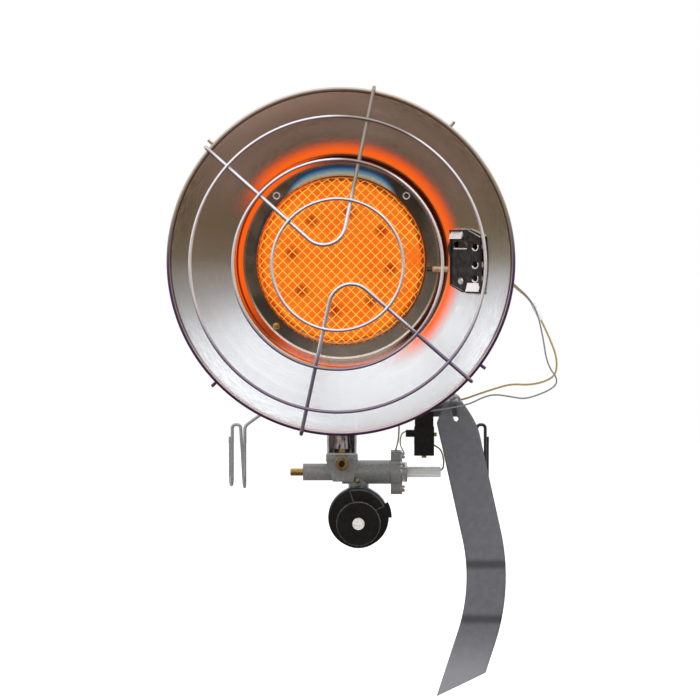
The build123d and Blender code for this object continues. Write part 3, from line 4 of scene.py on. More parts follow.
import bmesh
import bpy
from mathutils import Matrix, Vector


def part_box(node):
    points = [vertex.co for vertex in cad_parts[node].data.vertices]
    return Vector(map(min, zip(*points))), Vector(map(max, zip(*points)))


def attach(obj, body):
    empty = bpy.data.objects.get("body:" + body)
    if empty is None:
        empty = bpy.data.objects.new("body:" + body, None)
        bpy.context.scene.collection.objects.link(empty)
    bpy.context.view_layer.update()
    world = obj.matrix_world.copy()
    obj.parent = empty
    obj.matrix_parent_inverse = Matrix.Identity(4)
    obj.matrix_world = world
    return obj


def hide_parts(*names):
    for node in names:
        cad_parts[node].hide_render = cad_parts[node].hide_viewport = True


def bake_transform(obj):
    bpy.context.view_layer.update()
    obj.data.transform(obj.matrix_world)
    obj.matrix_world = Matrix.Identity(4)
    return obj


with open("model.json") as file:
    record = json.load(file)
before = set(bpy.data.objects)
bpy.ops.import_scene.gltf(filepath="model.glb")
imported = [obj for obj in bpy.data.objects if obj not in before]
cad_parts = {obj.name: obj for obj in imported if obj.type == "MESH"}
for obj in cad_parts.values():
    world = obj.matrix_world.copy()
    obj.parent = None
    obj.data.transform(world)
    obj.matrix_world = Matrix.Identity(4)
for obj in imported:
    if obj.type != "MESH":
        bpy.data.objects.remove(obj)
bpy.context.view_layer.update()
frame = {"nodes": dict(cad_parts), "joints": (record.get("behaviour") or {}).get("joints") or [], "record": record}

# The photograph's camera
CAMERA_PLACE = (0.011, -3.135, 0.246)
CAMERA_AIM = (-0.0061, -0.135, 0.1374)
CAMERA_LENS = 204.5
CAMERA_REACH = 50.0
SENSOR_WIDTH = 36.0

# Studio: floor, lamps as place, size and power, and the room in reflections, low front to high back
FLOOR_HEIGHT = -0.30
FLOOR_HALF = 6.0
FLOOR_GLOW = 0.70
AMBIENT = 0.62
LAMPS = {
    "softbox_above": ((0.2, -1.0, 2.2), 1.8, 26.0),
    "softbox_left": ((-2.0, -1.6, 0.9), 1.4, 16.0),
    "softbox_right": ((2.0, -1.4, 0.7), 1.4, 12.0),
}
ROOM_BEHIND = 0.9
ROOM_RIGHT = -0.12
ROOM_STOPS = (
    (0.0, (0.135, 0.098, 0.068)), (0.25, (0.155, 0.115, 0.082)), (0.42, (0.20, 0.165, 0.13)),
    (0.50, (0.25, 0.235, 0.205)), (0.56, (0.37, 0.36, 0.34)), (0.62, (0.55, 0.54, 0.54)),
    (0.70, (0.90, 0.90, 0.92)), (0.80, (1.1, 1.1, 1.12)),
)

# Dish profile, as radius and distance in front of the well floor
dish_low, dish_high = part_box("reflector_dish")
DISH = Vector(((dish_low.x + dish_high.x) / 2, dish_high.y, (dish_low.z + dish_high.z) / 2))
RIM_RADIUS = (dish_high.x - dish_low.x) / 2
DISH_DEPTH = dish_high.y - dish_low.y
DISH_SHEET = 0.0008
HOLE_RADIUS = 0.0620
FLOOR_RADIUS = 0.0776
WELL_RADIUS = 0.0822
WELL_HEIGHT = 0.0130
BEAD_RADIUS = 0.0016
BEAD_CENTRE = (RIM_RADIUS - BEAD_RADIUS, DISH_DEPTH - BEAD_RADIUS)
LIP = (BEAD_CENTRE[0] - BEAD_RADIUS / 2, BEAD_CENTRE[1] - BEAD_RADIUS / 2)
SLOPE_BOW = 0.0006
SLOPE_TURN = atan2(LIP[1] - WELL_HEIGHT, LIP[0] - WELL_RADIUS)
KNEE = ((WELL_RADIUS + LIP[0]) / 2 + SLOPE_BOW * sin(SLOPE_TURN),
        (WELL_HEIGHT + LIP[1]) / 2 - SLOPE_BOW * cos(SLOPE_TURN))
FLOOR_BEND = 0.002
WELL_BEND = 0.005
KNEE_BEND = 0.060
DISH_SEGMENTS = 540
DISH_STEP = 0.0013
ARC_STEPS = 8

# Radii between which the dish's tones and painted reflections, its painted shade and its painted glow of the
# burner come and go
BROW_BAND = (0.115, 0.127)
BEAD_BAND = (RIM_RADIUS - 0.0026, RIM_RADIUS - 0.0018)
SATIN_END = (0.1275, 0.1290)
SLOPE_PAINTED_GLOW = (0.0960, 0.0830)
WELL_EDGE = (WELL_RADIUS + 0.0003, WELL_RADIUS - 0.0006)
BELOW_PAINTED_GLOW = (0.0787, 0.0797)
FOOT_PAINTED_GLOW = (0.0652, 0.0640)
SLOT_SHADE = (0.0095, 0.0065)
SLOT_SHIFT = Vector((-0.0060, 0.0, 0.0090))

# Burner
RING_INNER = 0.0652
RING_OUTER = 0.0756
RING_SEAT = 0.00165
RING_SHEET = 0.00085
RING_LIP = 0.0024
RING_ROLL = 0.9
RING_ARC_STEPS = 4
FASTENER_CIRCLE = 0.0706
FASTENER_SEGMENTS = 32
EYELET = ((0.0018, -0.001), (0.0018, 0.0013), (0.0025, 0.0016), (0.0031, 0.0010), (0.0031, 0.0))
EYELET_BENDS = (0.0003, 0.0004, 0.0003)
EYELET_FOOT = (0.0025, -0.001)
RIVET = ((0.0, 0.0022), (0.0018, 0.0021), (0.0030, 0.0009), (0.0031, 0.0))
RIVET_BENDS = (0.0014, 0.0008)
RIVET_FOOT = (0.0, 0.0)
HEAD_ARC_STEPS = 5
DOME_RADIUS = 0.0644
DOME_HEIGHT = 0.0154
DOME_FOOT = 0.0012
CROWN_RADIUS = 0.030
SHOULDER = (0.0070, 0.00285)
BROW = (0.00035, 0.0070)
DOME_BENDS = (0.150, 0.014, 0.005)
DOME_SEGMENTS = 128
MESH_PITCH = 0.0053
MESH_WIRE = 0.00075
MESH_WEAVE = 0.00032
MESH_STEP = 0.0011
MESH_SIDES = 6
EMITTER_RADIUS = 0.0616
EMITTER_HEIGHT = 0.0126
EMITTER_FOOT = 0.0012
SPOT_CIRCLE = 0.0385
SPOT_COUNT = 8
SPOT_FIRST = 36.7
SPOT_RADIUS = 0.0080
HOT_PATCH_CIRCLE = 0.0560
HOT_PATCH_TURN = 3
HOT_PATCH_RADIUS = 0.0150

# Bright trim on the thermocouple's plate, near white as a painted highlight, from the middle of the plate
PLATE_RADIUS = 0.09567
PLATE_FORWARD = 0.02813
PLATE_SHEET = 0.0012
PLATE_TABS = ((-0.0140, -0.0025, 0.0170, 0.0234), (0.0020, 0.0142, -0.0230, -0.0165))
PLATE_SLOT = (-0.0112, 0.0012, 0.0095)
PLATE_HOLES = (0.0110, -0.0025, -0.0130)
PLATE_HOLE_ACROSS = 0.0090
HOLE_EDGE_RADIUS = 0.0029
HOLE_EDGE_TURNS = range(-160, 40, 10)
TRIM_SHEET = 0.0005
TRIM_SIDES = 8
TAB_LEAN = 0.0026
TAB_FACES = ((0, 1, 2, 3), (4, 5, 6, 7), (0, 1, 5, 4), (1, 2, 6, 5), (2, 3, 7, 6), (3, 0, 4, 7))

# Small screw on the valve's boss
BOSS_SCREW = (-0.0008, -0.0360, 0.0317)
BOSS_HEAD = ((0.0, 0.0012), (0.0014, 0.0011), (0.0022, 0.0), (0.0022, -0.001))
BOSS_BENDS = (0.0008, 0.0006)
BOSS_FOOT = (0.0, -0.001)

# Streaks on the venturi tube end at this height
STREAK_TOP = 0.075
STREAK_FADE = 0.012

# Painted highlights on the regulator's edges
KNOB_EDGE = 0.0170
BONNET_CENTRE = (0.0, 0.0, 0.0045)
LABEL_EDGE = 0.0217
LABEL_TURNS = (24, 108)
LABEL_FADE = 0.02
PAINTED_HIGHLIGHT_LINE = (0.0007, 0.0002)

# Hang tag
tag_joint = next(joint for joint in frame["joints"] if joint["name"] == "tag_swing")
TAG_HOOK = Vector(tag_joint["pos_m"])
TAG_SHEET = 0.0008
TAG_LEAN = 12.5
TAG_HALF_WIDTH = 0.01525
TAG_NOSE_RISE = 0.0032
TAG_NOSE_RADIUS = 0.0068
TAG_SHOULDERS = {-1: 0.0100, 1: 0.0270}
TAG_BEND_START = 0.1018
TAG_BEND_RADIUS = 0.152
TAG_BEND_ANGLE = 30.5
TAG_TAIL = 0.0240
TAG_SLANT = 0.02926
TAG_SLOT_LENGTH = 0.0100
TAG_SLOT_RADIUS = 0.0018
TAG_BULGE = 0.0009
TAG_PAINTED_REFLECTION_BANDS = (-0.0312, -0.0737)
TAG_ROWS = 200
TAG_TAIL_ROWS = 40
TAG_HALF_COLUMNS = 6

# Free leads: the same points as the CAD routes
GREY_LEAD = (
    (0.0970, -0.0870, 0.1986), (0.1084, -0.0885, 0.1960), (0.1199, -0.0920, 0.1856),
    (0.1306, -0.0925, 0.1760), (0.1374, -0.0930, 0.1642), (0.1420, -0.0930, 0.1420),
    (0.1436, -0.0920, 0.1305), (0.1470, -0.0910, 0.1213), (0.1518, -0.0890, 0.1151),
    (0.1523, -0.0870, 0.1096), (0.1469, -0.0850, 0.1049), (0.1371, -0.0810, 0.1005),
    (0.1277, -0.0770, 0.0976), (0.1183, -0.0730, 0.0990), (0.1053, -0.0705, 0.1010),
    (0.0960, -0.0695, 0.0985), (0.0867, -0.0695, 0.0937), (0.0759, -0.0700, 0.0912),
    (0.0655, -0.0694, 0.0894), (0.0576, -0.0646, 0.0880), (0.0544, -0.0557, 0.0870),
)
TAN_LEAD = (
    (0.0970, -0.0870, 0.1966), (0.1090, -0.0860, 0.1932), (0.1200, -0.0875, 0.1840),
    (0.1322, -0.0880, 0.1740), (0.1415, -0.0870, 0.1560), (0.1473, -0.0860, 0.1433),
    (0.1515, -0.0850, 0.1325), (0.1526, -0.0840, 0.1233), (0.1509, -0.0830, 0.1156),
    (0.1426, -0.0800, 0.1108), (0.1312, -0.0750, 0.1083), (0.1175, -0.0710, 0.1089),
    (0.1052, -0.0685, 0.1051), (0.0924, -0.0655, 0.1008), (0.0826, -0.0605, 0.0968),
    (0.0740, -0.0582, 0.0954), (0.0660, -0.0576, 0.0934), (0.0586, -0.0572, 0.0908),
    (0.0509, -0.0557, 0.0890),
)
GREY_LEAD_DIAMETER = 0.0012
TAN_LEAD_DIAMETER = 0.0015
LEAD_ROUNDNESS = 4
LEAD_STEPS = 10

# Springs: the body that pushes each one's low end, and the axis it shortens along
SPRINGS = {"button_spring": ("button", 0), "valve_spring": ("poppet", 0), "regulator_spring": ("cam", 1)}

# Nodes whose sharp edges are rounded, and by how much
EDGE_WIDTHS = {
    "valve_body": 0.0006, "valve_end_plate": 0.0002, "valve_plug": 0.0002, "magnet_nut": 0.0003,
    "regulator_body": 0.0005, "regulator_bonnet": 0.0005, "regulator_knob": 0.0004, "handwheel": 0.0004,
    "tip_switch_case": 0.0004, "tip_switch_cover": 0.0002, "mounting_bracket": 0.0003,
    "tip_switch_bracket": 0.0002, "thermocouple_bracket": 0.0003, "tank_nut": 0.0004,
}
EDGE_SEGMENTS = 2
SHARP_ANGLE = radians(35)
WELD_DISTANCE = 1e-6
FLAT_ANGLE = radians(0.5)

SOCKETS = {
    "colour": "Base Color", "metal": "Metallic", "rough": "Roughness", "ior": "IOR",
    "specular": "Specular IOR Level", "clear": "Transmission Weight", "coat": "Coat Weight",
    "coat_rough": "Coat Roughness", "glow": "Emission Color", "glow_strength": "Emission Strength",
}

# Ranges of a noise that colours and roughness follow, and the depth of bumps
NOISE_RANGE = (0.3, 0.7)
GRAIN_TONES = (0.32, 0.68)
GRAIN_ROUGH = (0.25, 0.75)
GRAIN_DETAIL = 4.0
BUMP_DEPTH = 0.0004

# Finishes that follow one noise: two colours, a range of roughness, the noise's scale, its bump,
# other settings of the surface and, for a drawn grain, its stretch
LONG_GRAIN = (0.06, 1.0, 1.0)
PLAIN_FINISHES = {
    "heat_tinted_steel": ((0.20, 0.15, 0.12), (0.52, 0.46, 0.42), (0.28, 0.45), 38.0, 0.05, {"metal": 1.0}),
    "bare_steel": ((0.56, 0.56, 0.57), (0.74, 0.74, 0.75), (0.22, 0.36), 120.0, 0.05, {"metal": 0.6},
                   LONG_GRAIN),
    "bright_steel": ((0.50, 0.50, 0.51), (0.78, 0.78, 0.79), (0.14, 0.24), 300.0, 0.02, {"metal": 0.85}),
    # Near white trim: a painted highlight on the plate's edges
    "trim_steel_painted_highlight": ((0.80, 0.80, 0.81), (0.97, 0.97, 0.98), (0.20, 0.32), 90.0, 0.0, {"metal": 0.2}),
    "dull_steel": ((0.07, 0.07, 0.075), (0.16, 0.16, 0.165), (0.30, 0.45), 160.0, 0.04, {"metal": 0.5}),
    "zinc_casting": ((0.25, 0.25, 0.245), (0.37, 0.37, 0.365), (0.34, 0.50), 650.0, 0.12, {"metal": 0.5}),
    "brass": ((0.52, 0.34, 0.11), (0.80, 0.60, 0.27), (0.20, 0.34), 260.0, 0.06, {"metal": 1.0}),
    "spring_steel": ((0.45, 0.45, 0.46), (0.62, 0.62, 0.63), (0.25, 0.35), 300.0, 0.0, {"metal": 1.0}),
    "black_casting": ((0.002, 0.002, 0.002), (0.006, 0.006, 0.007), (0.14, 0.26), 240.0, 0.05,
                      {"specular": 0.25, "coat": 0.12, "coat_rough": 0.10}),
    "black_plastic": ((0.002, 0.002, 0.002), (0.006, 0.006, 0.007), (0.20, 0.34), 380.0, 0.06,
                      {"specular": 0.35, "coat": 0.2, "coat_rough": 0.10}),
    "silver_cap": ((0.52, 0.50, 0.44), (0.84, 0.82, 0.75), (0.40, 0.60), 900.0, 0.30, {}),
    "black_rubber": ((0.010, 0.010, 0.010), (0.022, 0.022, 0.022), (0.6, 0.8), 300.0, 0.1, {}),
    "copper_sheath": ((0.50, 0.36, 0.22), (0.76, 0.62, 0.44), (0.25, 0.42), 160.0, 0.06, {"metal": 0.5}),
    "dark_tip": ((0.05, 0.035, 0.03), (0.14, 0.10, 0.08), (0.5, 0.75), 700.0, 0.3, {"metal": 0.6}),
    "grey_insulation": ((0.15, 0.15, 0.16), (0.28, 0.28, 0.29), (0.45, 0.6), 1500.0, 0.3, {}),
    "tan_insulation": ((0.38, 0.23, 0.07), (0.56, 0.37, 0.14), (0.45, 0.6), 1500.0, 0.3, {}),
    "white_sleeve": ((0.74, 0.74, 0.72), (0.88, 0.88, 0.86), (0.5, 0.7), 900.0, 0.25, {}),
    "brown_insulation": ((0.15, 0.12, 0.06), (0.31, 0.25, 0.14), (0.4, 0.55), 900.0, 0.2, {}),
}


class Nodes:
    """A tree of shader nodes, with short ways to add and join them."""

    def __init__(self, tree):
        self.tree = tree

    def feed(self, socket, value):
        """Join a socket to another node's output, or give it a value of its own."""
        if isinstance(value, bpy.types.NodeSocket):
            self.tree.links.new(value, socket)
        else:
            socket.default_value = value

    def add(self, kind, inputs, output=0, **settings):
        """New node of a kind, with its inputs by place, and one of its outputs."""
        node = self.tree.nodes.new("ShaderNode" + kind)
        for key, value in settings.items():
            setattr(node, key, value)
        for place, value in inputs.items():
            self.feed(node.inputs[place], value)
        return node.outputs[output]

    def split(self, vector):
        """X, Y and Z of a vector."""
        parts = self.tree.nodes.new("ShaderNodeSeparateXYZ")
        self.feed(parts.inputs[0], vector)
        return parts.outputs

    def rays(self):
        """Outputs that tell the kind of ray."""
        return self.tree.nodes.new("ShaderNodeLightPath").outputs

    def math(self, operation, *values):
        return self.add("Math", dict(enumerate(values)), operation=operation)

    def chain(self, operation, values):
        """One operation over several values in turn."""
        result = values[0]
        for value in values[1:]:
            result = self.math(operation, result, value)
        return result

    def plus(self, *values):
        return self.chain("ADD", values)

    def times(self, *values):
        return self.chain("MULTIPLY", values)

    def most(self, *values):
        return self.chain("MAXIMUM", values)

    def off(self, value, middle):
        """How far a value is from a middle one, either way."""
        return self.math("ABSOLUTE", self.math("SUBTRACT", value, middle))

    def span(self, value, low, high, to_low=0.0, to_high=1.0):
        """Smooth step from one value to another as the input goes from low to high."""
        inputs = {0: value, 1: low, 2: high, 3: to_low, 4: to_high}
        return self.add("MapRange", inputs, interpolation_type="SMOOTHSTEP")

    def ramp(self, value, stops):
        """Colours by value, as (place, colour) stops."""
        node = self.tree.nodes.new("ShaderNodeValToRGB")
        self.feed(node.inputs[0], value)
        elements = node.color_ramp.elements
        while len(elements) < len(stops):
            elements.new(1.0)
        for element, (place, colour) in zip(elements, stops):
            element.position = place
            element.color = (*colour, 1.0)
        return node.outputs[0]

    def tones(self, noise, first, second, places=NOISE_RANGE):
        """Two colours by a noise."""
        return self.ramp(noise, list(zip(places, (first, second))))

    def mix(self, share, first, second):
        node = self.tree.nodes.new("ShaderNodeMix")
        node.data_type = "RGBA"
        for place, value in ((0, share), (6, first), (7, second)):
            if isinstance(value, tuple):
                value = (*value, 1.0)
            self.feed(node.inputs[place], value)
        return node.outputs[2]


class Shader(Nodes):
    """A material and its nodes."""

    def __init__(self, name, **settings):
        self.material = bpy.data.materials.new(name)
        self.material.use_nodes = True
        super().__init__(self.material.node_tree)
        self.surface = self.tree.nodes["Principled BSDF"]
        for key, value in settings.items():
            self.set(key, value)

    def set(self, key, value):
        if isinstance(value, tuple) and len(value) == 3:
            value = (*value, 1.0)
        self.feed(self.surface.inputs[SOCKETS[key]], value)

    def place(self):
        return self.add("TexCoord", {}, "Object")

    def height(self):
        return self.split(self.place())[2]

    def normal(self):
        """X, Y and Z of the surface's normal."""
        return self.split(self.add("NewGeometry", {}, "Normal"))

    def noise(self, scale, detail=3.0, stretch=(1.0, 1.0, 1.0), where=None):
        placed = self.add("Mapping", {0: where or self.place(), 3: stretch})
        return self.add("TexNoise", {0: placed, 2: scale, 3: detail})

    def roughen(self, noise, low, high):
        """Roughness by a noise."""
        self.set("rough", self.span(noise, *NOISE_RANGE, low, high))

    def bump(self, height, strength):
        inputs = {"Strength": strength, "Distance": BUMP_DEPTH, "Height": height}
        self.feed(self.surface.inputs["Normal"], self.add("Bump", inputs))

    def away(self, centre):
        """Distance from a point."""
        return self.add("VectorMath", {0: self.place(), 1: tuple(centre)}, "Value", operation="DISTANCE")

    def about(self, centre):
        """Distance from a line along Y through a point, and the X and Z parts of it."""
        offset = self.add("VectorMath", {0: self.place(), 1: tuple(centre)}, operation="SUBTRACT")
        x, _, z = self.split(offset)
        return self.math("SQRT", self.plus(self.times(x, x), self.times(z, z))), x, z

    def dish_polar(self):
        """Distance from the dish axis, and the cosine and sine of the angle round it."""
        radius, x, z = self.about(DISH)
        return radius, self.math("DIVIDE", x, radius), self.math("DIVIDE", z, radius)


def grained(name, dark, light, rough, scale, bump, settings, stretch=(1.0, 1.0, 1.0)):
    """Finish whose colour, roughness and height follow one noise."""
    shader = Shader(name, **settings)
    grain = shader.noise(scale, GRAIN_DETAIL, stretch)
    shader.set("colour", shader.tones(grain, dark, light, GRAIN_TONES))
    shader.set("rough", shader.span(grain, *GRAIN_ROUGH, *rough))
    if bump:
        shader.bump(grain, bump)
    return shader.material


def polished_steel():
    """Satin polished sheet: fine turned lines, painted reflections that are brown above and pale below, painted
    shade in the groove, behind the plate's slot and in the well, and a painted glow of the burner near its well.
    """
    shader = Shader("polished_steel", metal=1.0)
    radius, across, up = shader.dish_polar()
    turn_x, turn_y, turn_z = shader.normal()
    outward = shader.plus(shader.times(turn_x, across), shader.times(turn_z, up))
    front = shader.span(shader.plus(outward, turn_y), 0.1, -0.1)
    round_dish = {0: radius, 1: shader.times(across, 0.02), 2: shader.times(up, 0.02)}
    polish = shader.noise(900.0, 2.0, where=shader.add("CombineXYZ", round_dish))

    # Tones: painted reflections, pale and cool below, brown above, a paler brow, olive flanks and violet under the
    # bead, and painted shade in a dark groove
    steel = shader.tones(shader.noise(14.0), (0.87, 0.90, 0.94), (0.95, 0.97, 1.0))
    # Painted reflection: pale cool steel on the lower half
    toned = shader.mix(shader.span(up, 0.0, -0.5), steel, (0.95, 0.985, 1.0))
    # Painted reflection: brown on the upper half
    toned = shader.mix(shader.span(up, -0.15, 0.25, 0.0, 0.65), toned, (0.58, 0.45, 0.32))
    # Painted reflection: a paler brow near the top of the rim
    painted_brow_reflection = shader.times(shader.span(radius, *BROW_BAND), shader.span(up, 0.5, 0.9, 0.0, 0.35))
    toned = shader.mix(painted_brow_reflection, toned, (0.80, 0.70, 0.60))
    # Painted reflection: olive on the left and right flanks
    painted_flank_reflection = shader.span(shader.math("ABSOLUTE", across), 0.82, 0.97)
    painted_flank_reflection = shader.times(painted_flank_reflection, shader.span(up, -0.12, 0.06, 0.0, 0.45))
    toned = shader.mix(painted_flank_reflection, toned, (0.42, 0.41, 0.23))
    # Painted shade: a dark groove inside the bead on the lower half
    painted_groove_shade = shader.span(shader.off(radius, LIP[0] - BEAD_RADIUS / 2), 0.0009, 0.0003, 0.0, 0.85)
    painted_groove_shade = shader.times(painted_groove_shade, shader.span(up, -0.75, -0.35))
    toned = shader.mix(painted_groove_shade, toned, (0.07, 0.05, 0.05))
    # Painted reflection: dark violet under the bead on the lower half
    painted_bead_underside_reflection = shader.times(shader.span(radius, *BEAD_BAND), shader.span(up, 0.35, -0.1),
                         shader.span(turn_y, 0.6, 0.2))
    toned = shader.mix(painted_bead_underside_reflection, toned, (0.19, 0.10, 0.26))

    # Shade behind the plate's slot and in the well
    low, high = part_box("thermocouple_bracket")
    shade = shader.span(shader.about((low + high) / 2 + SLOT_SHIFT)[0], *SLOT_SHADE)
    inside = shader.span(radius, *WELL_EDGE)
    covered = shader.most(shade, shader.times(inside, shader.span(up, -0.92, -0.70)))
    toned = shader.mix(shader.times(covered, front, 0.85), toned, (0.05, 0.02, 0.015))

    # Painted glow of the burner on the slope, the well's wall and the foot of the mesh
    # Painted glow of the burner on the slope
    right = shader.times(shader.plus(up, across), 0.7)
    slope = shader.times(shader.span(radius, *SLOPE_PAINTED_GLOW), shader.span(right, -0.45, 0.15),
                         shader.math("SUBTRACT", 1.0, shader.most(shade, inside)))
    # Painted glow on the well's wall and below the well
    middle = shader.off(radius, (WELL_RADIUS + FLOOR_RADIUS) / 2)
    wall = shader.times(shader.span(across, 0.0, -0.5, 0.10, 0.9), shader.span(up, -0.75, -0.20, 0.4, 1.0),
                        shader.span(middle, 0.0003, 0.0010, 0.15, 1.0))
    painted_light_below = shader.times(shader.span(radius, *BELOW_PAINTED_GLOW), shader.span(up, -0.60, -0.90, 0.0, 0.45))
    foot = shader.span(radius, *FOOT_PAINTED_GLOW, 0.0, 0.30)
    painted_glow = shader.most(slope, foot, shader.times(inside, shader.most(wall, painted_light_below)))
    seam = shader.span(shader.off(radius, WELL_RADIUS), 0.0003, 0.0010, 0.35, 1.0)
    painted_glow = shader.times(painted_glow, seam, front)

    # Painted glow: dark red base colour where the painted glow lies
    shader.set("colour", shader.mix(painted_glow, toned, (0.10, 0.02, 0.01)))
    satin = shader.span(polish, *NOISE_RANGE, 0.13, 0.24)
    shader.set("rough", shader.plus(satin, shader.span(radius, *SATIN_END, 0.0, 0.25)))
    # Painted glow: orange emission from the dish, standing in for the burner's light on it
    shader.set("glow", shader.ramp(painted_glow, [(0.0, (0.55, 0.05, 0.006)), (0.5, (0.95, 0.10, 0.006)),
                                          (1.0, (1.00, 0.13, 0.008))]))
    shader.set("glow_strength", painted_glow)
    shader.bump(polish, 0.03)
    return shader.material


def heat_ring_steel():
    """Dark stainless ring with a straw and blue heat tint at the top, beside the mesh, a painted highlight towards
    the lower right and on its lip, and painted shade on the upper right and lower left.
    """
    shader = Shader("heat_ring_steel")
    radius, across, up = shader.dish_polar()
    cloud = shader.noise(60.0)
    steel = shader.tones(cloud, (0.20, 0.165, 0.125), (0.34, 0.29, 0.235))
    # Painted highlight: paler towards the lower right
    painted_highlight_swing = shader.plus(shader.times(across, 0.5), shader.times(up, -0.87))
    steel = shader.mix(shader.span(painted_highlight_swing, 0.2, 0.95, 0.0, 0.22), steel, (0.62, 0.58, 0.52))
    # Painted shade: darker on the upper right and lower left
    painted_shade_quadrants = shader.span(shader.times(across, up), 0.25, 0.5, 0.0, 0.7)
    steel = shader.mix(painted_shade_quadrants, steel, (0.06, 0.055, 0.05))
    crescent = shader.span(up, 0.70, 0.95, 0.0655, 0.0745)
    depth = shader.add("MapRange", {0: radius, 1: RING_INNER, 2: crescent})
    tint = shader.ramp(depth, [(0.0, (0.60, 0.50, 0.30)), (0.22, (0.62, 0.66, 0.55)),
                               (0.45, (0.16, 0.42, 0.62)), (0.72, (0.02, 0.09, 0.30)),
                               (1.0, (0.02, 0.02, 0.05))])
    strength = shader.times(shader.span(up, 0.70, 0.88), shader.span(depth, 1.0, 0.8))
    left = shader.times(shader.span(across, -0.55, -0.85), shader.span(radius, 0.0685, 0.0655),
                        shader.span(up, -0.10, 0.25))
    blue = shader.mix(left, steel, (0.06, 0.14, 0.30))
    # Painted highlight: near white on the outer lip, strongest on the lower half
    lip = shader.span(radius, RING_OUTER - 2.2 * RING_SHEET, RING_OUTER - 1.5 * RING_SHEET)
    lip = shader.times(lip, shader.span(up, -0.2, -0.8, 0.22, 1.0))
    tinted = shader.mix(strength, blue, tint)
    shader.set("colour", shader.mix(lip, tinted, (0.97, 0.92, 0.82)))
    shader.set("metal", shader.span(shader.most(strength, lip), 0.0, 1.0, 1.0, 0.35))
    shader.roughen(cloud, 0.22, 0.36)
    shader.bump(cloud, 0.03)
    return shader.material


def guard_wire_steel():
    """Bright plated wire: painted violet reflection on the lower half, aged on the upper spoke, browned at the
    hooks, painted dark violet shade underneath.
    """
    shader = Shader("guard_wire_steel", metal=0.6)
    radius, across, up = shader.dish_polar()
    streak = shader.noise(500.0, 2.0)
    plated_and_painted = shader.tones(streak, (0.84, 0.82, 0.86), (0.97, 0.95, 0.98))
    # Painted reflection: violet on the lower half of the guard
    painted_light_below = shader.times(shader.span(up, -0.2, -0.7), shader.span(radius, 0.060, 0.085, 0.0, 0.8))
    plated_and_painted = shader.mix(painted_light_below, plated_and_painted, (0.15, 0.10, 0.21))
    aged = shader.times(shader.span(across, -0.12, 0.08), shader.span(across, 0.62, 0.40),
                        shader.span(up, 0.3, 0.6), shader.span(radius, 0.042, 0.060, 0.0, 0.75))
    plated_and_painted = shader.mix(aged, plated_and_painted, (0.20, 0.14, 0.05))
    hooked = shader.span(radius, 0.118, 0.131, 0.0, 0.6)
    plated_and_painted = shader.mix(hooked, plated_and_painted, (0.36, 0.27, 0.22))
    # Painted shade: dark violet where the wire faces down
    painted_underside_shade = shader.span(shader.normal()[2], 0.10, -0.45, 0.0, 0.9)
    shader.set("colour", shader.mix(painted_underside_shade, plated_and_painted, (0.08, 0.04, 0.10)))
    shader.roughen(streak, 0.06, 0.14)
    return shader.material


def support_steel():
    """Plain drawn wire, with painted shade along its sides, and darker on the right-hand clip."""
    shader = Shader("support_steel", metal=0.55)
    across = shader.split(shader.place())[0]
    streak = shader.noise(90.0, 2.0)
    drawn = shader.tones(streak, (0.38, 0.38, 0.39), (0.52, 0.52, 0.53))
    # Painted shade: darker where the wire's sides face left and right
    side = shader.span(shader.math("ABSOLUTE", shader.normal()[0]), 0.40, 0.90, 0.0, 0.8)
    drawn = shader.mix(side, drawn, (0.09, 0.09, 0.095))
    shader.set("colour", shader.mix(shader.span(across, 0.0, 0.05), drawn, (0.05, 0.05, 0.055)))
    shader.roughen(streak, 0.22, 0.34)
    return shader.material


def glowing_wire():
    """Red hot wire, yellow in the middle and redder at the foot of the dome."""
    shader = Shader("glowing_wire", rough=0.6, specular=0.1)
    radius = shader.dish_polar()[0]
    hot = shader.tones(shader.noise(70.0, 2.0), (0.97, 0.50, 0.040), (1.0, 0.62, 0.065))
    away = shader.away(on_dish(HOT_PATCH_CIRCLE, radians(HOT_PATCH_TURN), DOME_HEIGHT / 2))
    hot = shader.mix(shader.span(away, HOT_PATCH_RADIUS, 0.004), hot, (0.97, 0.19, 0.012))
    edge = shader.span(radius, 0.0600, 0.0645)
    shader.set("glow", shader.mix(edge, hot, (0.95, 0.24, 0.015)))
    shader.set("colour", shader.mix(edge, (0.06, 0.03, 0.01), (0.02, 0.01, 0.01)))
    shader.set("glow_strength", shader.span(radius, 0.0634, 0.0645, 0.95, 0.10))
    return shader.material


def glowing_emitter():
    """Glowing sheet behind the wires, with darker red spots where the spacers touch it."""
    shader = Shader("glowing_emitter", rough=0.9, specular=0.0)
    radius = shader.dish_polar()[0]
    cloud = shader.noise(45.0)
    glow = shader.tones(cloud, (0.92, 0.135, 0.010), (0.96, 0.195, 0.015))
    for index in range(SPOT_COUNT):
        turn = radians(SPOT_FIRST + 360 / SPOT_COUNT * index)
        away = shader.away(on_dish(SPOT_CIRCLE, turn, EMITTER_HEIGHT))
        glow = shader.mix(shader.span(away, SPOT_RADIUS, 0.0010, 0.0, 0.9), glow, (0.40, 0.018, 0.005))
    edge = shader.span(radius, 0.0600, 0.0616)
    shader.set("glow", shader.mix(edge, glow, (0.72, 0.08, 0.008)))
    shader.set("colour", shader.tones(cloud, (0.02, 0.01, 0.01), (0.04, 0.015, 0.01)))
    shader.set("glow_strength", shader.span(radius, 0.0609, 0.0616, 0.95, 0.75))
    return shader.material


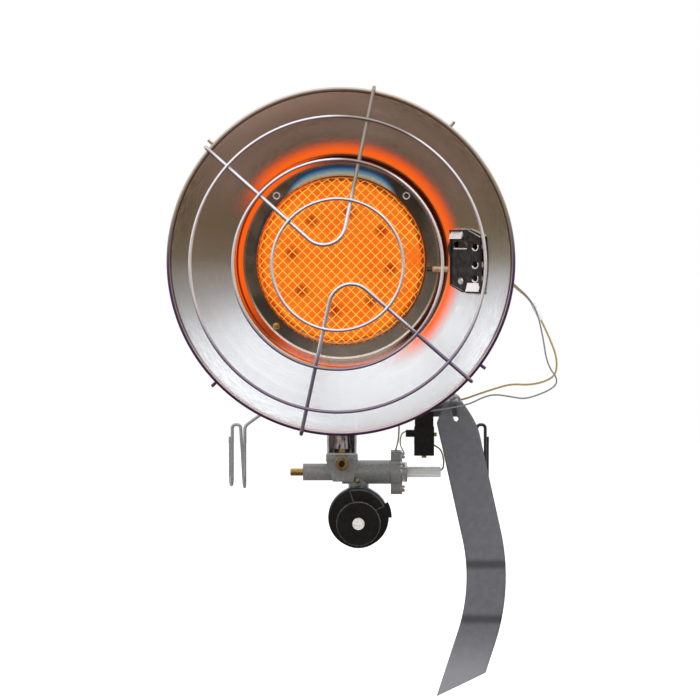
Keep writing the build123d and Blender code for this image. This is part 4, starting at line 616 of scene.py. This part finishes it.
def tag_card():
    """Coated dark grey strip with two soft bands of painted dark reflection and a paler end of painted reflection.
    """
    shader = Shader("tag_card", coat=0.25, coat_rough=0.25)
    height = shader.height()
    cloud = shader.noise(220.0, 4.0)
    grey = shader.tones(cloud, (0.105, 0.105, 0.118), (0.130, 0.130, 0.143))
    # Painted reflection: paler towards the low end
    pale = shader.mix(shader.span(height, -0.075, -0.125, 0.0, 0.6), grey, (0.34, 0.34, 0.36))
    # Painted reflection: two soft darker bands across the bowed strip
    for reflection_band in TAG_PAINTED_REFLECTION_BANDS:
        away = shader.off(height, reflection_band)
        pale = shader.mix(shader.span(away, 0.0055, 0.0008, 0.0, 0.75), pale, (0.028, 0.028, 0.033))
    fold = shader.tones(shader.noise(420.0), (0.10, 0.10, 0.11), (0.48, 0.48, 0.49), (0.40, 0.60))
    shader.set("colour", shader.mix(shader.span(height, 0.0935, 0.0965), pale, fold))
    shader.roughen(cloud, 0.42, 0.52)
    shader.bump(cloud, 0.04)
    return shader.material


def dark_plate():
    """Dark sheet, with a painted highlight where its edges face upwards."""
    shader = Shader("dark_plate", metal=0.6)
    cloud = shader.noise(220.0)
    dark = shader.tones(cloud, (0.030, 0.028, 0.028), (0.075, 0.070, 0.070))
    # Painted highlight: near white where the sheet faces upwards
    painted_upward_highlight = shader.span(shader.normal()[2], 0.25, 0.7)
    shader.set("colour", shader.mix(painted_upward_highlight, dark, (0.82, 0.82, 0.83)))
    shader.roughen(cloud, 0.22, 0.36)
    return shader.material


def black_with_painted_highlight(name, painted_highlight_of):
    """Black finish, paler where a painted highlight line runs."""
    shader = Shader(name, specular=0.35, coat=0.3, coat_rough=0.08)
    grain = shader.noise(260.0)
    black = shader.tones(grain, (0.002, 0.002, 0.002), (0.006, 0.006, 0.007))
    # Painted highlight: paler black along the line, broken by the grain
    painted_highlight_mask = shader.times(painted_highlight_of(shader), shader.span(grain, 0.35, 0.6, 0.6, 1.0))
    shader.set("colour", shader.mix(painted_highlight_mask, black, (0.080, 0.080, 0.085)))
    shader.roughen(grain, 0.14, 0.28)
    return shader.material


def knob_painted_highlight(shader):
    """Painted highlight: ring round the knob's front edge, fainter below."""
    ring = shader.span(shader.off(shader.about((0, 0, 0))[0], KNOB_EDGE), 0.0008, 0.0003)
    return shader.times(ring, shader.span(shader.height(), -KNOB_EDGE, KNOB_EDGE, 0.4, 1.0))


def label_painted_highlight(shader):
    """Painted highlight along the outline of the raised part of the bonnet's face."""
    away, x, z = shader.about(BONNET_CENTRE)
    turn = shader.math("ARCTAN2", z, x)
    start, end = (radians(value) for value in LABEL_TURNS)
    outer = shader.times(shader.span(shader.off(away, LABEL_EDGE), *PAINTED_HIGHLIGHT_LINE),
                         shader.span(turn, start - LABEL_FADE, start),
                         shader.span(turn, end + LABEL_FADE, end))
    inner = shader.span(away, LABEL_EDGE + 0.0006, LABEL_EDGE)
    sides = [shader.times(shader.span(shader.times(shader.off(turn, side), away), *PAINTED_HIGHLIGHT_LINE), inner)
             for side in (start, end)]
    return shader.most(outer, *sides)


def plug_bronze():
    """Dull brass plug, with painted shade in its socket."""
    shader = Shader("plug_bronze", metal=0.8)
    low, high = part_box("valve_plug")
    grain = shader.noise(320.0)
    brass = shader.tones(grain, (0.24, 0.15, 0.06), (0.46, 0.33, 0.17))
    # Painted shade: dark brown deep in the socket
    inward = shader.math("SUBTRACT", shader.split(shader.place())[1], low.y)
    socket = shader.span(shader.about((low + high) / 2)[0], 0.0034, 0.0030)
    painted_socket_shade = shader.times(shader.span(inward, 0.0002, 0.0008), socket)
    shader.set("colour", shader.mix(painted_socket_shade, brass, (0.05, 0.03, 0.012)))
    shader.roughen(grain, 0.24, 0.40)
    return shader.material


def striped_tube():
    """Drawn steel tube: dark lengthwise streaks and a copper heat tint low down, plain above."""
    shader = Shader("striped_tube", metal=0.5)
    streak = shader.noise(520.0, 2.0, (1.0, 1.0, 0.02))
    drawn = shader.ramp(streak, [(0.44, (0.015, 0.014, 0.014)), (0.50, (0.30, 0.29, 0.29)),
                                 (0.58, (0.62, 0.61, 0.60))])
    patch = shader.span(shader.noise(120.0), 0.50, 0.62, 0.0, 0.8)
    tinted = shader.mix(patch, drawn, (0.55, 0.31, 0.22))
    plain = shader.tones(shader.noise(40.0), (0.30, 0.26, 0.23), (0.48, 0.44, 0.41))
    above = shader.span(shader.height(), STREAK_TOP, STREAK_TOP + STREAK_FADE)
    shader.set("colour", shader.mix(above, tinted, plain))
    shader.roughen(streak, 0.25, 0.40)
    return shader.material


def clear_plastic():
    """Milky clear tube."""
    shader = Shader("clear_plastic", clear=0.3, ior=1.2)
    cloud = shader.noise(60.0, 2.0, LONG_GRAIN)
    shader.set("colour", shader.tones(cloud, (0.78, 0.78, 0.77), (0.88, 0.88, 0.87)))
    shader.roughen(cloud, 0.20, 0.28)
    return shader.material


def on_dish(radius, turn, forward):
    """Point at a radius and an angle round the dish axis, in front of the well floor."""
    return DISH + Vector((radius * cos(turn), -forward, radius * sin(turn)))


def rounded(corners, radii, steps=ARC_STEPS):
    """Line through corner points, with an arc at each inner corner."""
    points = [Vector(corner) for corner in corners]
    line = [points[0]]
    for before, corner, after, radius in zip(points, points[1:], points[2:], radii):
        back = (before - corner).normalized()
        ahead = (after - corner).normalized()
        half = back.angle(ahead) / 2
        centre = corner + (back + ahead).normalized() * (radius / sin(half))
        start = (corner + back * (radius / tan(half)) - centre).normalized()
        end = (corner + ahead * (radius / tan(half)) - centre).normalized()
        line += [centre + start.slerp(end, step / steps).normalized() * radius for step in range(steps + 1)]
    return line + [points[-1]]


def spaced(line, step):
    """The same line with points added on its long runs."""
    dense = [line[0]]
    for start, end in zip(line, line[1:]):
        count = max(1, round((end - start).length / step))
        dense += [start.lerp(end, part / count) for part in range(1, count + 1)]
    return dense


def front_normals(line):
    """Unit normals to the left of a line in radius and forward distance."""
    normals = []
    for index in range(len(line)):
        along = line[min(index + 1, len(line) - 1)] - line[max(index - 1, 0)]
        normals.append(Vector((-along.y, along.x)).normalized())
    return normals


def piece(name, points, faces, material, body, slot, *nodes):
    """New mesh piece with its normals outwards, riding on a body."""
    mesh = bpy.data.meshes.new(name)
    mesh.from_pydata(points, [], faces)
    return finished(name, mesh, material, body, slot, *nodes)


def finished(name, mesh, material, body, slot, *nodes):
    """Object for a mesh: welded, smooth, riding on a body and standing for CAD nodes."""
    work = bmesh.new()
    work.from_mesh(mesh)
    bmesh.ops.remove_doubles(work, verts=work.verts, dist=WELD_DISTANCE)
    bmesh.ops.recalc_face_normals(work, faces=work.faces)
    work.to_mesh(mesh)
    work.free()
    mesh.polygons.foreach_set("use_smooth", [True] * len(mesh.polygons))
    mesh.set_sharp_from_angle(angle=SHARP_ANGLE)
    thing = placed(name, mesh, material)
    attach(thing, body)
    if nodes:
        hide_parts(*nodes)
    return thing


def placed(name, data, material):
    """Object in the scene for a mesh or a curve, with one material."""
    data.materials.clear()
    data.materials.append(material)
    thing = bpy.data.objects.new(name, data)
    bpy.context.scene.collection.objects.link(thing)
    return thing


def joined(parts):
    """Points and faces of several meshes as one."""
    points, faces = [], []
    for part_points, part_faces in parts:
        faces += [tuple(len(points) + corner for corner in face) for face in part_faces]
        points += part_points
    return points, faces


def grid_faces(rows, columns, closed=True):
    """Quads of a grid of points whose columns close on each other, and whose rows do if asked."""
    faces = []
    for row in range(rows if closed else rows - 1):
        after = (row + 1) % rows
        for column in range(columns):
            beside = (column + 1) % columns
            faces.append((row * columns + column, row * columns + beside,
                          after * columns + beside, after * columns + column))
    return faces


def turned(line, origin, segments):
    """Points and faces of a closed line, as radius and distance, turned about an axis to the front."""
    axis = Vector((0, -1, 0))
    side = axis.orthogonal().normalized()
    points = []
    for turn in range(segments):
        angle = 2 * pi * turn / segments
        outward = side * cos(angle) + axis.cross(side) * sin(angle)
        points += [Vector(origin) + outward * point[0] + axis * point[1] for point in line]
    return points, grid_faces(segments, len(line))


def reflector_shell(material):
    """Pressed dish: floor, well, slope and rolled rim as one closed skin."""
    corners = [(HOLE_RADIUS, 0), (FLOOR_RADIUS, 0), (WELL_RADIUS, WELL_HEIGHT), KNEE, LIP]
    back = spaced(rounded(corners, (FLOOR_BEND, WELL_BEND, KNEE_BEND)), DISH_STEP)
    normals = front_normals(back)
    front = [point + normal * DISH_SHEET for point, normal in zip(back, normals)]
    centre = Vector(BEAD_CENTRE)
    outside = [index for index, point in enumerate(back) if (point - centre).length > BEAD_RADIUS]
    clear = [index for index in outside if (front[index] - centre).length > BEAD_RADIUS]
    start, end = front[clear[-1]] - centre, back[outside[-1]] - centre
    first, last = atan2(start.y, start.x), atan2(end.y, end.x)
    bead = []
    for step in range(1, 4 * ARC_STEPS):
        angle = first - (first - last + 2 * pi) % (2 * pi) * step / (4 * ARC_STEPS)
        bead.append(centre + Vector((cos(angle), sin(angle))) * BEAD_RADIUS)
    loop = [front[index] for index in clear] + bead + [back[index] for index in reversed(outside)]
    points, faces = turned(loop, DISH, DISH_SEGMENTS)
    piece("reflector_shell", points, faces, material, "heater", "polished_steel", "reflector_dish")


def heat_ring(material):
    """Flange ring with rolled edges round the mesh."""
    front = RING_SEAT + RING_SHEET
    edge = RING_SHEET / 2
    lip = front + RING_LIP
    corners = [(RING_OUTER, DISH_SHEET), (RING_OUTER, lip), (RING_OUTER - RING_SHEET, lip),
               (RING_OUTER - RING_SHEET, front), (RING_INNER, front), (RING_INNER, DISH_SHEET)]
    line = rounded(corners, (edge * RING_ROLL, edge * RING_ROLL, edge, edge), RING_ARC_STEPS)
    points, faces = turned(line, DISH, DISH_SEGMENTS // 2)
    piece("heat_ring", points, faces, material, "heater", "heat_tinted_steel", "burner_flange_ring")


def burner_fasteners(steel, brass):
    """Two open eyelets above and two brass domes below, on the flange ring."""
    eyelet = rounded(EYELET, EYELET_BENDS, RING_ARC_STEPS) + [Vector(EYELET_FOOT)]
    rivet = rounded(RIVET, RIVET_BENDS, HEAD_ARC_STEPS) + [Vector(RIVET_FOOT)]
    kinds = ((45, "right", eyelet, steel), (135, "left", eyelet, steel),
             (225, "lower_left", rivet, brass), (315, "lower_right", rivet, brass))
    for angle, place, line, material in kinds:
        origin = on_dish(FASTENER_CIRCLE, radians(angle), RING_SEAT + RING_SHEET)
        points, faces = turned(line, origin, FASTENER_SEGMENTS)
        piece(f"burner_fastener_{place}", points, faces, material, "heater", "heat_tinted_steel",
              "burner_screws")


def boss_screw(material):
    """Small round brass screw on the front of the valve's boss."""
    line = rounded(BOSS_HEAD, BOSS_BENDS, HEAD_ARC_STEPS) + [Vector(BOSS_FOOT)]
    points, faces = turned(line, BOSS_SCREW, FASTENER_SEGMENTS)
    piece("boss_screw", points, faces, material, "heater", "brass")


def dome_line(radius, height, foot):
    """Line of a flat dome from its crown to its foot."""
    corners = [(0, height), (CROWN_RADIUS, height), (radius - SHOULDER[0], height - SHOULDER[1]),
               (radius - BROW[0], height - BROW[1]), (radius, foot)]
    return spaced(rounded(corners, DOME_BENDS), MESH_STEP)


def tube(route, radius, sides):
    """Points and faces of a tube along a route, closed at both ends."""
    points = []
    side = None
    for index, place in enumerate(route):
        along = (route[min(index + 1, len(route) - 1)] - route[max(index - 1, 0)]).normalized()
        side = along.orthogonal() if side is None else side - along * side.dot(along)
        side.normalize()
        other = along.cross(side)
        for step in range(sides):
            angle = 2 * pi * step / sides
            points.append(place + (side * cos(angle) + other * sin(angle)) * radius)
    caps = [tuple(range(sides)), tuple(range(len(points) - sides, len(points)))]
    return points, grid_faces(len(route), sides, closed=False) + caps


def mesh_wires(material):
    """Woven diamond mesh drawn over the dome, two sets of crossing wires."""
    line = dome_line(DOME_RADIUS, DOME_HEIGHT, DOME_FOOT)
    reach = [0.0]
    for start, end in zip(line, line[1:]):
        reach.append(reach[-1] + (end - start).length)
    normals = front_normals(line)

    def over_dome(away, turn, lift):
        """Point of the cloth at a distance from its middle."""
        index = min(len(line) - 2, max(0, sum(1 for value in reach if value <= away) - 1))
        share = (away - reach[index]) / (reach[index + 1] - reach[index])
        flat = line[index].lerp(line[index + 1], share) + normals[index] * lift
        return on_dish(flat.x, turn, flat.y)

    count = floor(reach[-1] / MESH_PITCH)
    wires = []
    for lean, weave in ((45, MESH_WEAVE), (135, -MESH_WEAVE)):
        for index in range(-count, count + 1):
            offset = index * MESH_PITCH
            half = (reach[-1] ** 2 - offset ** 2) ** 0.5
            steps = max(4, round(2 * half / MESH_STEP))
            route = []
            for step in range(steps + 1):
                along = -half + 2 * half * step / steps
                away = min(hypot(along, offset), reach[-1] - WELD_DISTANCE)
                turn = atan2(offset, along) + radians(lean)
                lift = weave * cos(pi * along / MESH_PITCH + pi * index)
                route.append(over_dome(away, turn, lift))
            wires.append(tube(route, MESH_WIRE / 2, MESH_SIDES))
    points, faces = joined(wires)
    piece("mesh_wires", points, faces, material, "heater", "glowing_mesh", "outer_mesh_screen")


def emitter_dome(material):
    """Glowing dome behind the mesh."""
    line = dome_line(EMITTER_RADIUS, EMITTER_HEIGHT, EMITTER_FOOT)
    line += [Vector((EMITTER_RADIUS - DISH_SHEET, EMITTER_FOOT)), Vector((0, EMITTER_HEIGHT - DISH_SHEET))]
    points, faces = turned(line, DISH, DOME_SEGMENTS)
    piece("emitter_dome", points, faces, material, "heater", "emitter_steel",
          "inner_emitter_screen", "screen_spacers")


def plate_trim(material):
    """Bright bent tabs, slot edge and hole edges on the front of the thermocouple's plate, near white as a painted
    highlight.
    """
    ahead = Vector((cos(SLOPE_TURN), -sin(SLOPE_TURN), 0))
    out = Vector((-sin(SLOPE_TURN), -cos(SLOPE_TURN), 0))
    middle = on_dish(PLATE_RADIUS, 0, PLATE_FORWARD)

    def on_plate(across, up, proud=0.0):
        return middle + ahead * across + Vector((0, 0, up)) + out * (PLATE_SHEET + proud)

    parts = []
    # Bent tabs, near white as a painted highlight
    for left, right, low, high in PLATE_TABS:
        corners = []
        for lift in (0.0, TRIM_SHEET):
            corners += [on_plate(left, low, TAB_LEAN + lift), on_plate(right, low, TAB_LEAN + lift),
                        on_plate(right, high, lift), on_plate(left, high, lift)]
        parts.append((corners, TAB_FACES))
    # Painted highlight: bright lines along the slot's edge and the lower sides of the holes
    left, right, up = PLATE_SLOT
    routes = [[on_plate(left, up), on_plate(right, up)]]
    edge = [(HOLE_EDGE_RADIUS * cos(radians(turn)), HOLE_EDGE_RADIUS * sin(radians(turn)))
            for turn in HOLE_EDGE_TURNS]
    for up in PLATE_HOLES:
        routes.append([on_plate(PLATE_HOLE_ACROSS + x, up + z) for x, z in edge])
    parts += [tube(route, TRIM_SHEET, TRIM_SIDES) for route in routes]
    points, faces = joined(parts)
    piece("plate_trim", points, faces, material, "heater", "bare_steel")


def tag_centre(along):
    """Place and heading of the tag's middle line at a distance below the hook."""
    lean = radians(TAG_LEAN)
    bend = TAG_BEND_RADIUS * radians(TAG_BEND_ANGLE)
    straight = min(along, TAG_BEND_START)
    place = Vector((sin(lean), -cos(lean))) * straight
    turned_by = min(max(along - TAG_BEND_START, 0.0), bend) / TAG_BEND_RADIUS
    heading = lean - turned_by
    place += Vector((cos(heading) - cos(lean), sin(heading) - sin(lean))) * TAG_BEND_RADIUS
    rest = max(along - TAG_BEND_START - bend, 0.0)
    return place + Vector((sin(heading), -cos(heading))) * rest, heading


def tag_half_width(along, side):
    """Half of the tag's width: round nose, straight left and round right shoulder, straight sides."""
    if along < -TAG_NOSE_RISE:
        return max(0.0, TAG_NOSE_RADIUS ** 2 - (along + TAG_NOSE_RISE) ** 2) ** 0.5
    share = min(1.0, (along + TAG_NOSE_RISE) / (TAG_SHOULDERS[side] + TAG_NOSE_RISE))
    swell = sin(share * pi / 2) if side > 0 else share
    return TAG_NOSE_RADIUS + (TAG_HALF_WIDTH - TAG_NOSE_RADIUS) * swell


def tag_slot_half(along):
    """Half of the slot's width at a distance below the hook."""
    beyond = max(-along, along - TAG_SLOT_LENGTH, 0.0)
    return max(0.0, TAG_SLOT_RADIUS ** 2 - beyond ** 2) ** 0.5


def tag_strip(material):
    """Thin bowed strip with a round nose, a slot for the hook and a slanted end."""
    bend_end = TAG_BEND_START + TAG_BEND_RADIUS * radians(TAG_BEND_ANGLE)
    nose = -TAG_NOSE_RISE - TAG_NOSE_RADIUS
    rows = [nose + (bend_end - nose) * (step / TAG_ROWS) for step in range(TAG_ROWS + 1)]
    ends = [(row, row) for row in rows]
    for step in range(1, TAG_TAIL_ROWS + 1):
        left = bend_end + (TAG_TAIL + TAG_SLANT) * step / TAG_TAIL_ROWS
        ends.append((left, bend_end + TAG_TAIL * step / TAG_TAIL_ROWS))
    shares = [step / TAG_HALF_COLUMNS for step in range(TAG_HALF_COLUMNS + 1)]
    columns = [(-1, share) for share in reversed(shares)] + [(1, share) for share in shares]
    points = []
    for left, right in ends:
        for side, share in columns:
            along = left + (right - left) * (side * share + 1) / 2
            place, heading = tag_centre(along)
            slot = tag_slot_half(along)
            across = side * (slot + max(0.0, tag_half_width(along, side) - slot) * share)
            bow = TAG_BULGE * (1 - share * share)
            points.append(TAG_HOOK + Vector((place.x + across * cos(heading), -bow,
                                             place.y + across * sin(heading))))
    faces = []
    for row in range(len(ends) - 1):
        for column in range(len(columns) - 1):
            if column == TAG_HALF_COLUMNS:
                continue
            first = row * len(columns) + column
            faces.append((first, first + 1, first + 1 + len(columns), first + len(columns)))
    strip = piece("tag_strip", points, faces, material, "tag", "tag_card", "hang_tag")
    thickness = strip.modifiers.new("thickness", "SOLIDIFY")
    thickness.thickness = TAG_SHEET
    thickness.offset = 0.0


def lead(name, route, diameter, material, node):
    """Free lead as one smooth spline through its route."""
    curve = bpy.data.curves.new(name, "CURVE")
    curve.dimensions = "3D"
    curve.bevel_depth = diameter / 2
    curve.bevel_resolution = LEAD_ROUNDNESS
    curve.resolution_u = LEAD_STEPS
    curve.use_fill_caps = True
    spline = curve.splines.new("NURBS")
    spline.points.add(len(route) - 1)
    for control, place in zip(spline.points, route):
        control.co = (*place, 1.0)
    spline.order_u = 3
    spline.use_endpoint_u = True
    thing = placed(name, curve, material)
    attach(thing, "heater")
    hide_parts(node)
    return thing


def dressed(node, body, slot, material, width):
    """Copy of a node's own mesh with its sharp edges rounded."""
    mesh = frame["nodes"][node].data.copy()
    work = bmesh.new()
    work.from_mesh(mesh)
    bmesh.ops.remove_doubles(work, verts=work.verts, dist=WELD_DISTANCE)
    bmesh.ops.dissolve_limit(work, angle_limit=FLAT_ANGLE, verts=work.verts, edges=work.edges)
    work.to_mesh(mesh)
    work.free()
    thing = finished(f"{node}_dressed", mesh, material, body, slot, node)
    edge = thing.modifiers.new("rounded_edges", "BEVEL")
    edge.width = width
    edge.segments = EDGE_SEGMENTS
    edge.limit_method = "ANGLE"
    edge.angle_limit = SHARP_ANGLE
    edge.harden_normals = True


def spring(node, axis, material):
    """Copy of a spring's mesh in place of its node, at rest length; the real spring shortens as a body pushes its
    low end.
    """
    thing = placed(f"{node}_coil", frame["nodes"][node].data.copy(), material)
    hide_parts(node)
    low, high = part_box(node)
    still = (low + high) / 2
    pushed = still.copy()
    still[axis] = high[axis]
    pushed[axis] = low[axis]
    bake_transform(thing)


def room():
    """World: white where it is seen, plain light, and a darker front and floor in reflections."""
    world = bpy.data.worlds.new("studio")
    bpy.context.scene.world = world
    world.use_nodes = True
    world.node_tree.nodes.clear()
    nodes = Nodes(world.node_tree)
    ray = nodes.rays()
    x, y, z = nodes.split(nodes.add("TexCoord", {}, "Generated"))
    height = nodes.math("MULTIPLY_ADD", nodes.most(y, 0.0), ROOM_BEHIND, z)
    height = nodes.math("MULTIPLY_ADD", x, ROOM_RIGHT, height)
    share = nodes.add("MapRange", {0: height, 1: -1.0, 2: 1.0})
    white = nodes.most(ray["Is Camera Ray"], ray["Is Transmission Ray"])
    level = nodes.add("MapRange", {0: white, 3: AMBIENT})
    plain = nodes.add("Background", {0: (1.0, 1.0, 1.0, 1.0), 1: level})
    mirrored = nodes.add("Background", {0: nodes.ramp(share, ROOM_STOPS)})
    mixed = nodes.add("MixShader", {0: ray["Is Glossy Ray"], 1: plain, 2: mirrored})
    output = nodes.tree.nodes.new("ShaderNodeOutputWorld")
    nodes.feed(output.inputs[0], mixed)


def pale_floor():
    """Wide floor that the camera sees as white, with the object's shadow."""
    mesh = bpy.data.meshes.new("floor")
    sides = ((-1, -1), (1, -1), (1, 1), (-1, 1))
    corners = [(x * FLOOR_HALF, y * FLOOR_HALF, FLOOR_HEIGHT) for x, y in sides]
    mesh.from_pydata(corners, [], [(0, 1, 2, 3)])
    paint = Shader("floor_paint", rough=0.9, colour=(0.9, 0.9, 0.9), glow=(1.0, 1.0, 1.0))
    paint.set("glow_strength", paint.times(paint.rays()["Is Camera Ray"], FLOOR_GLOW))
    ground = placed("floor", mesh, paint.material)
    ground.visible_glossy = False


def aimed(name, data, place, aim):
    """Lamp or camera at a place, turned to a point."""
    thing = bpy.data.objects.new(name, data)
    thing.location = place
    thing.rotation_mode = "QUATERNION"
    thing.rotation_quaternion = (Vector(aim) - Vector(place)).to_track_quat("-Z", "Y")
    bpy.context.scene.collection.objects.link(thing)
    return thing


def studio():
    """Room, floor, soft lamps and the photograph's camera."""
    bpy.context.scene.view_settings.view_transform = "Standard"
    room()
    pale_floor()
    for name, (place, size, power) in LAMPS.items():
        lamp = bpy.data.lights.new(name, "AREA")
        lamp.size = size
        lamp.energy = power
        aimed(name, lamp, place, DISH).visible_glossy = False
    lens = bpy.data.cameras.new("camera")
    lens.lens = CAMERA_LENS
    lens.sensor_width = SENSOR_WIDTH
    lens.clip_end = CAMERA_REACH
    bpy.context.scene.camera = aimed("camera", lens, CAMERA_PLACE, CAMERA_AIM)


studio()
finishes = {name: grained(name, *look) for name, look in PLAIN_FINISHES.items()}
finishes.update(polished_steel=polished_steel(), guard_wire=guard_wire_steel(), glowing_mesh=glowing_wire(),
                emitter_steel=glowing_emitter(), clear_plastic=clear_plastic(), tag_card=tag_card())
slot_of = {part["node"]: part["material_slot"] for part in frame["record"]["subparts"]}
finish_of = {node: finishes[slot] for node, slot in slot_of.items()}
finish_of.update(
    thermocouple_bracket=dark_plate(), collar_support_wire=support_steel(), valve_plug=plug_bronze(),
    venturi_tube=striped_tube(), regulator_knob=black_with_painted_highlight("black_knob_with_painted_highlight", knob_painted_highlight),
    regulator_bonnet=black_with_painted_highlight("black_bonnet_with_painted_highlight", label_painted_highlight), tip_switch_bracket=finishes["dull_steel"])
for node in ("magnet_nut", "valve_end_plate", "flange_screws"):
    finish_of[node] = finishes["bright_steel"]
for node, thing in frame["nodes"].items():
    thing.data.materials.clear()
    thing.data.materials.append(finish_of[node])

grey_lead = lead("grey_lead", GREY_LEAD, GREY_LEAD_DIAMETER, finishes["grey_insulation"],
                 "lead_grey")
tan_lead = lead("tan_lead", TAN_LEAD, TAN_LEAD_DIAMETER, finishes["tan_insulation"],
                "lead_tan")

reflector_shell(finishes["polished_steel"])
heat_ring(heat_ring_steel())
burner_fasteners(finishes["bare_steel"], finishes["brass"])
boss_screw(finishes["brass"])
plate_trim(finishes["trim_steel_painted_highlight"])
mesh_wires(finishes["glowing_mesh"])
emitter_dome(finishes["emitter_steel"])
tag_strip(finishes["tag_card"])

body_of = {node: body for body, nodes in frame["record"]["behaviour"]["bodies"].items() for node in nodes}
for node, width in EDGE_WIDTHS.items():
    dressed(node, body_of[node], slot_of[node], finish_of[node], width)
for node, (body, axis) in SPRINGS.items():
    spring(node, axis, finish_of[node])
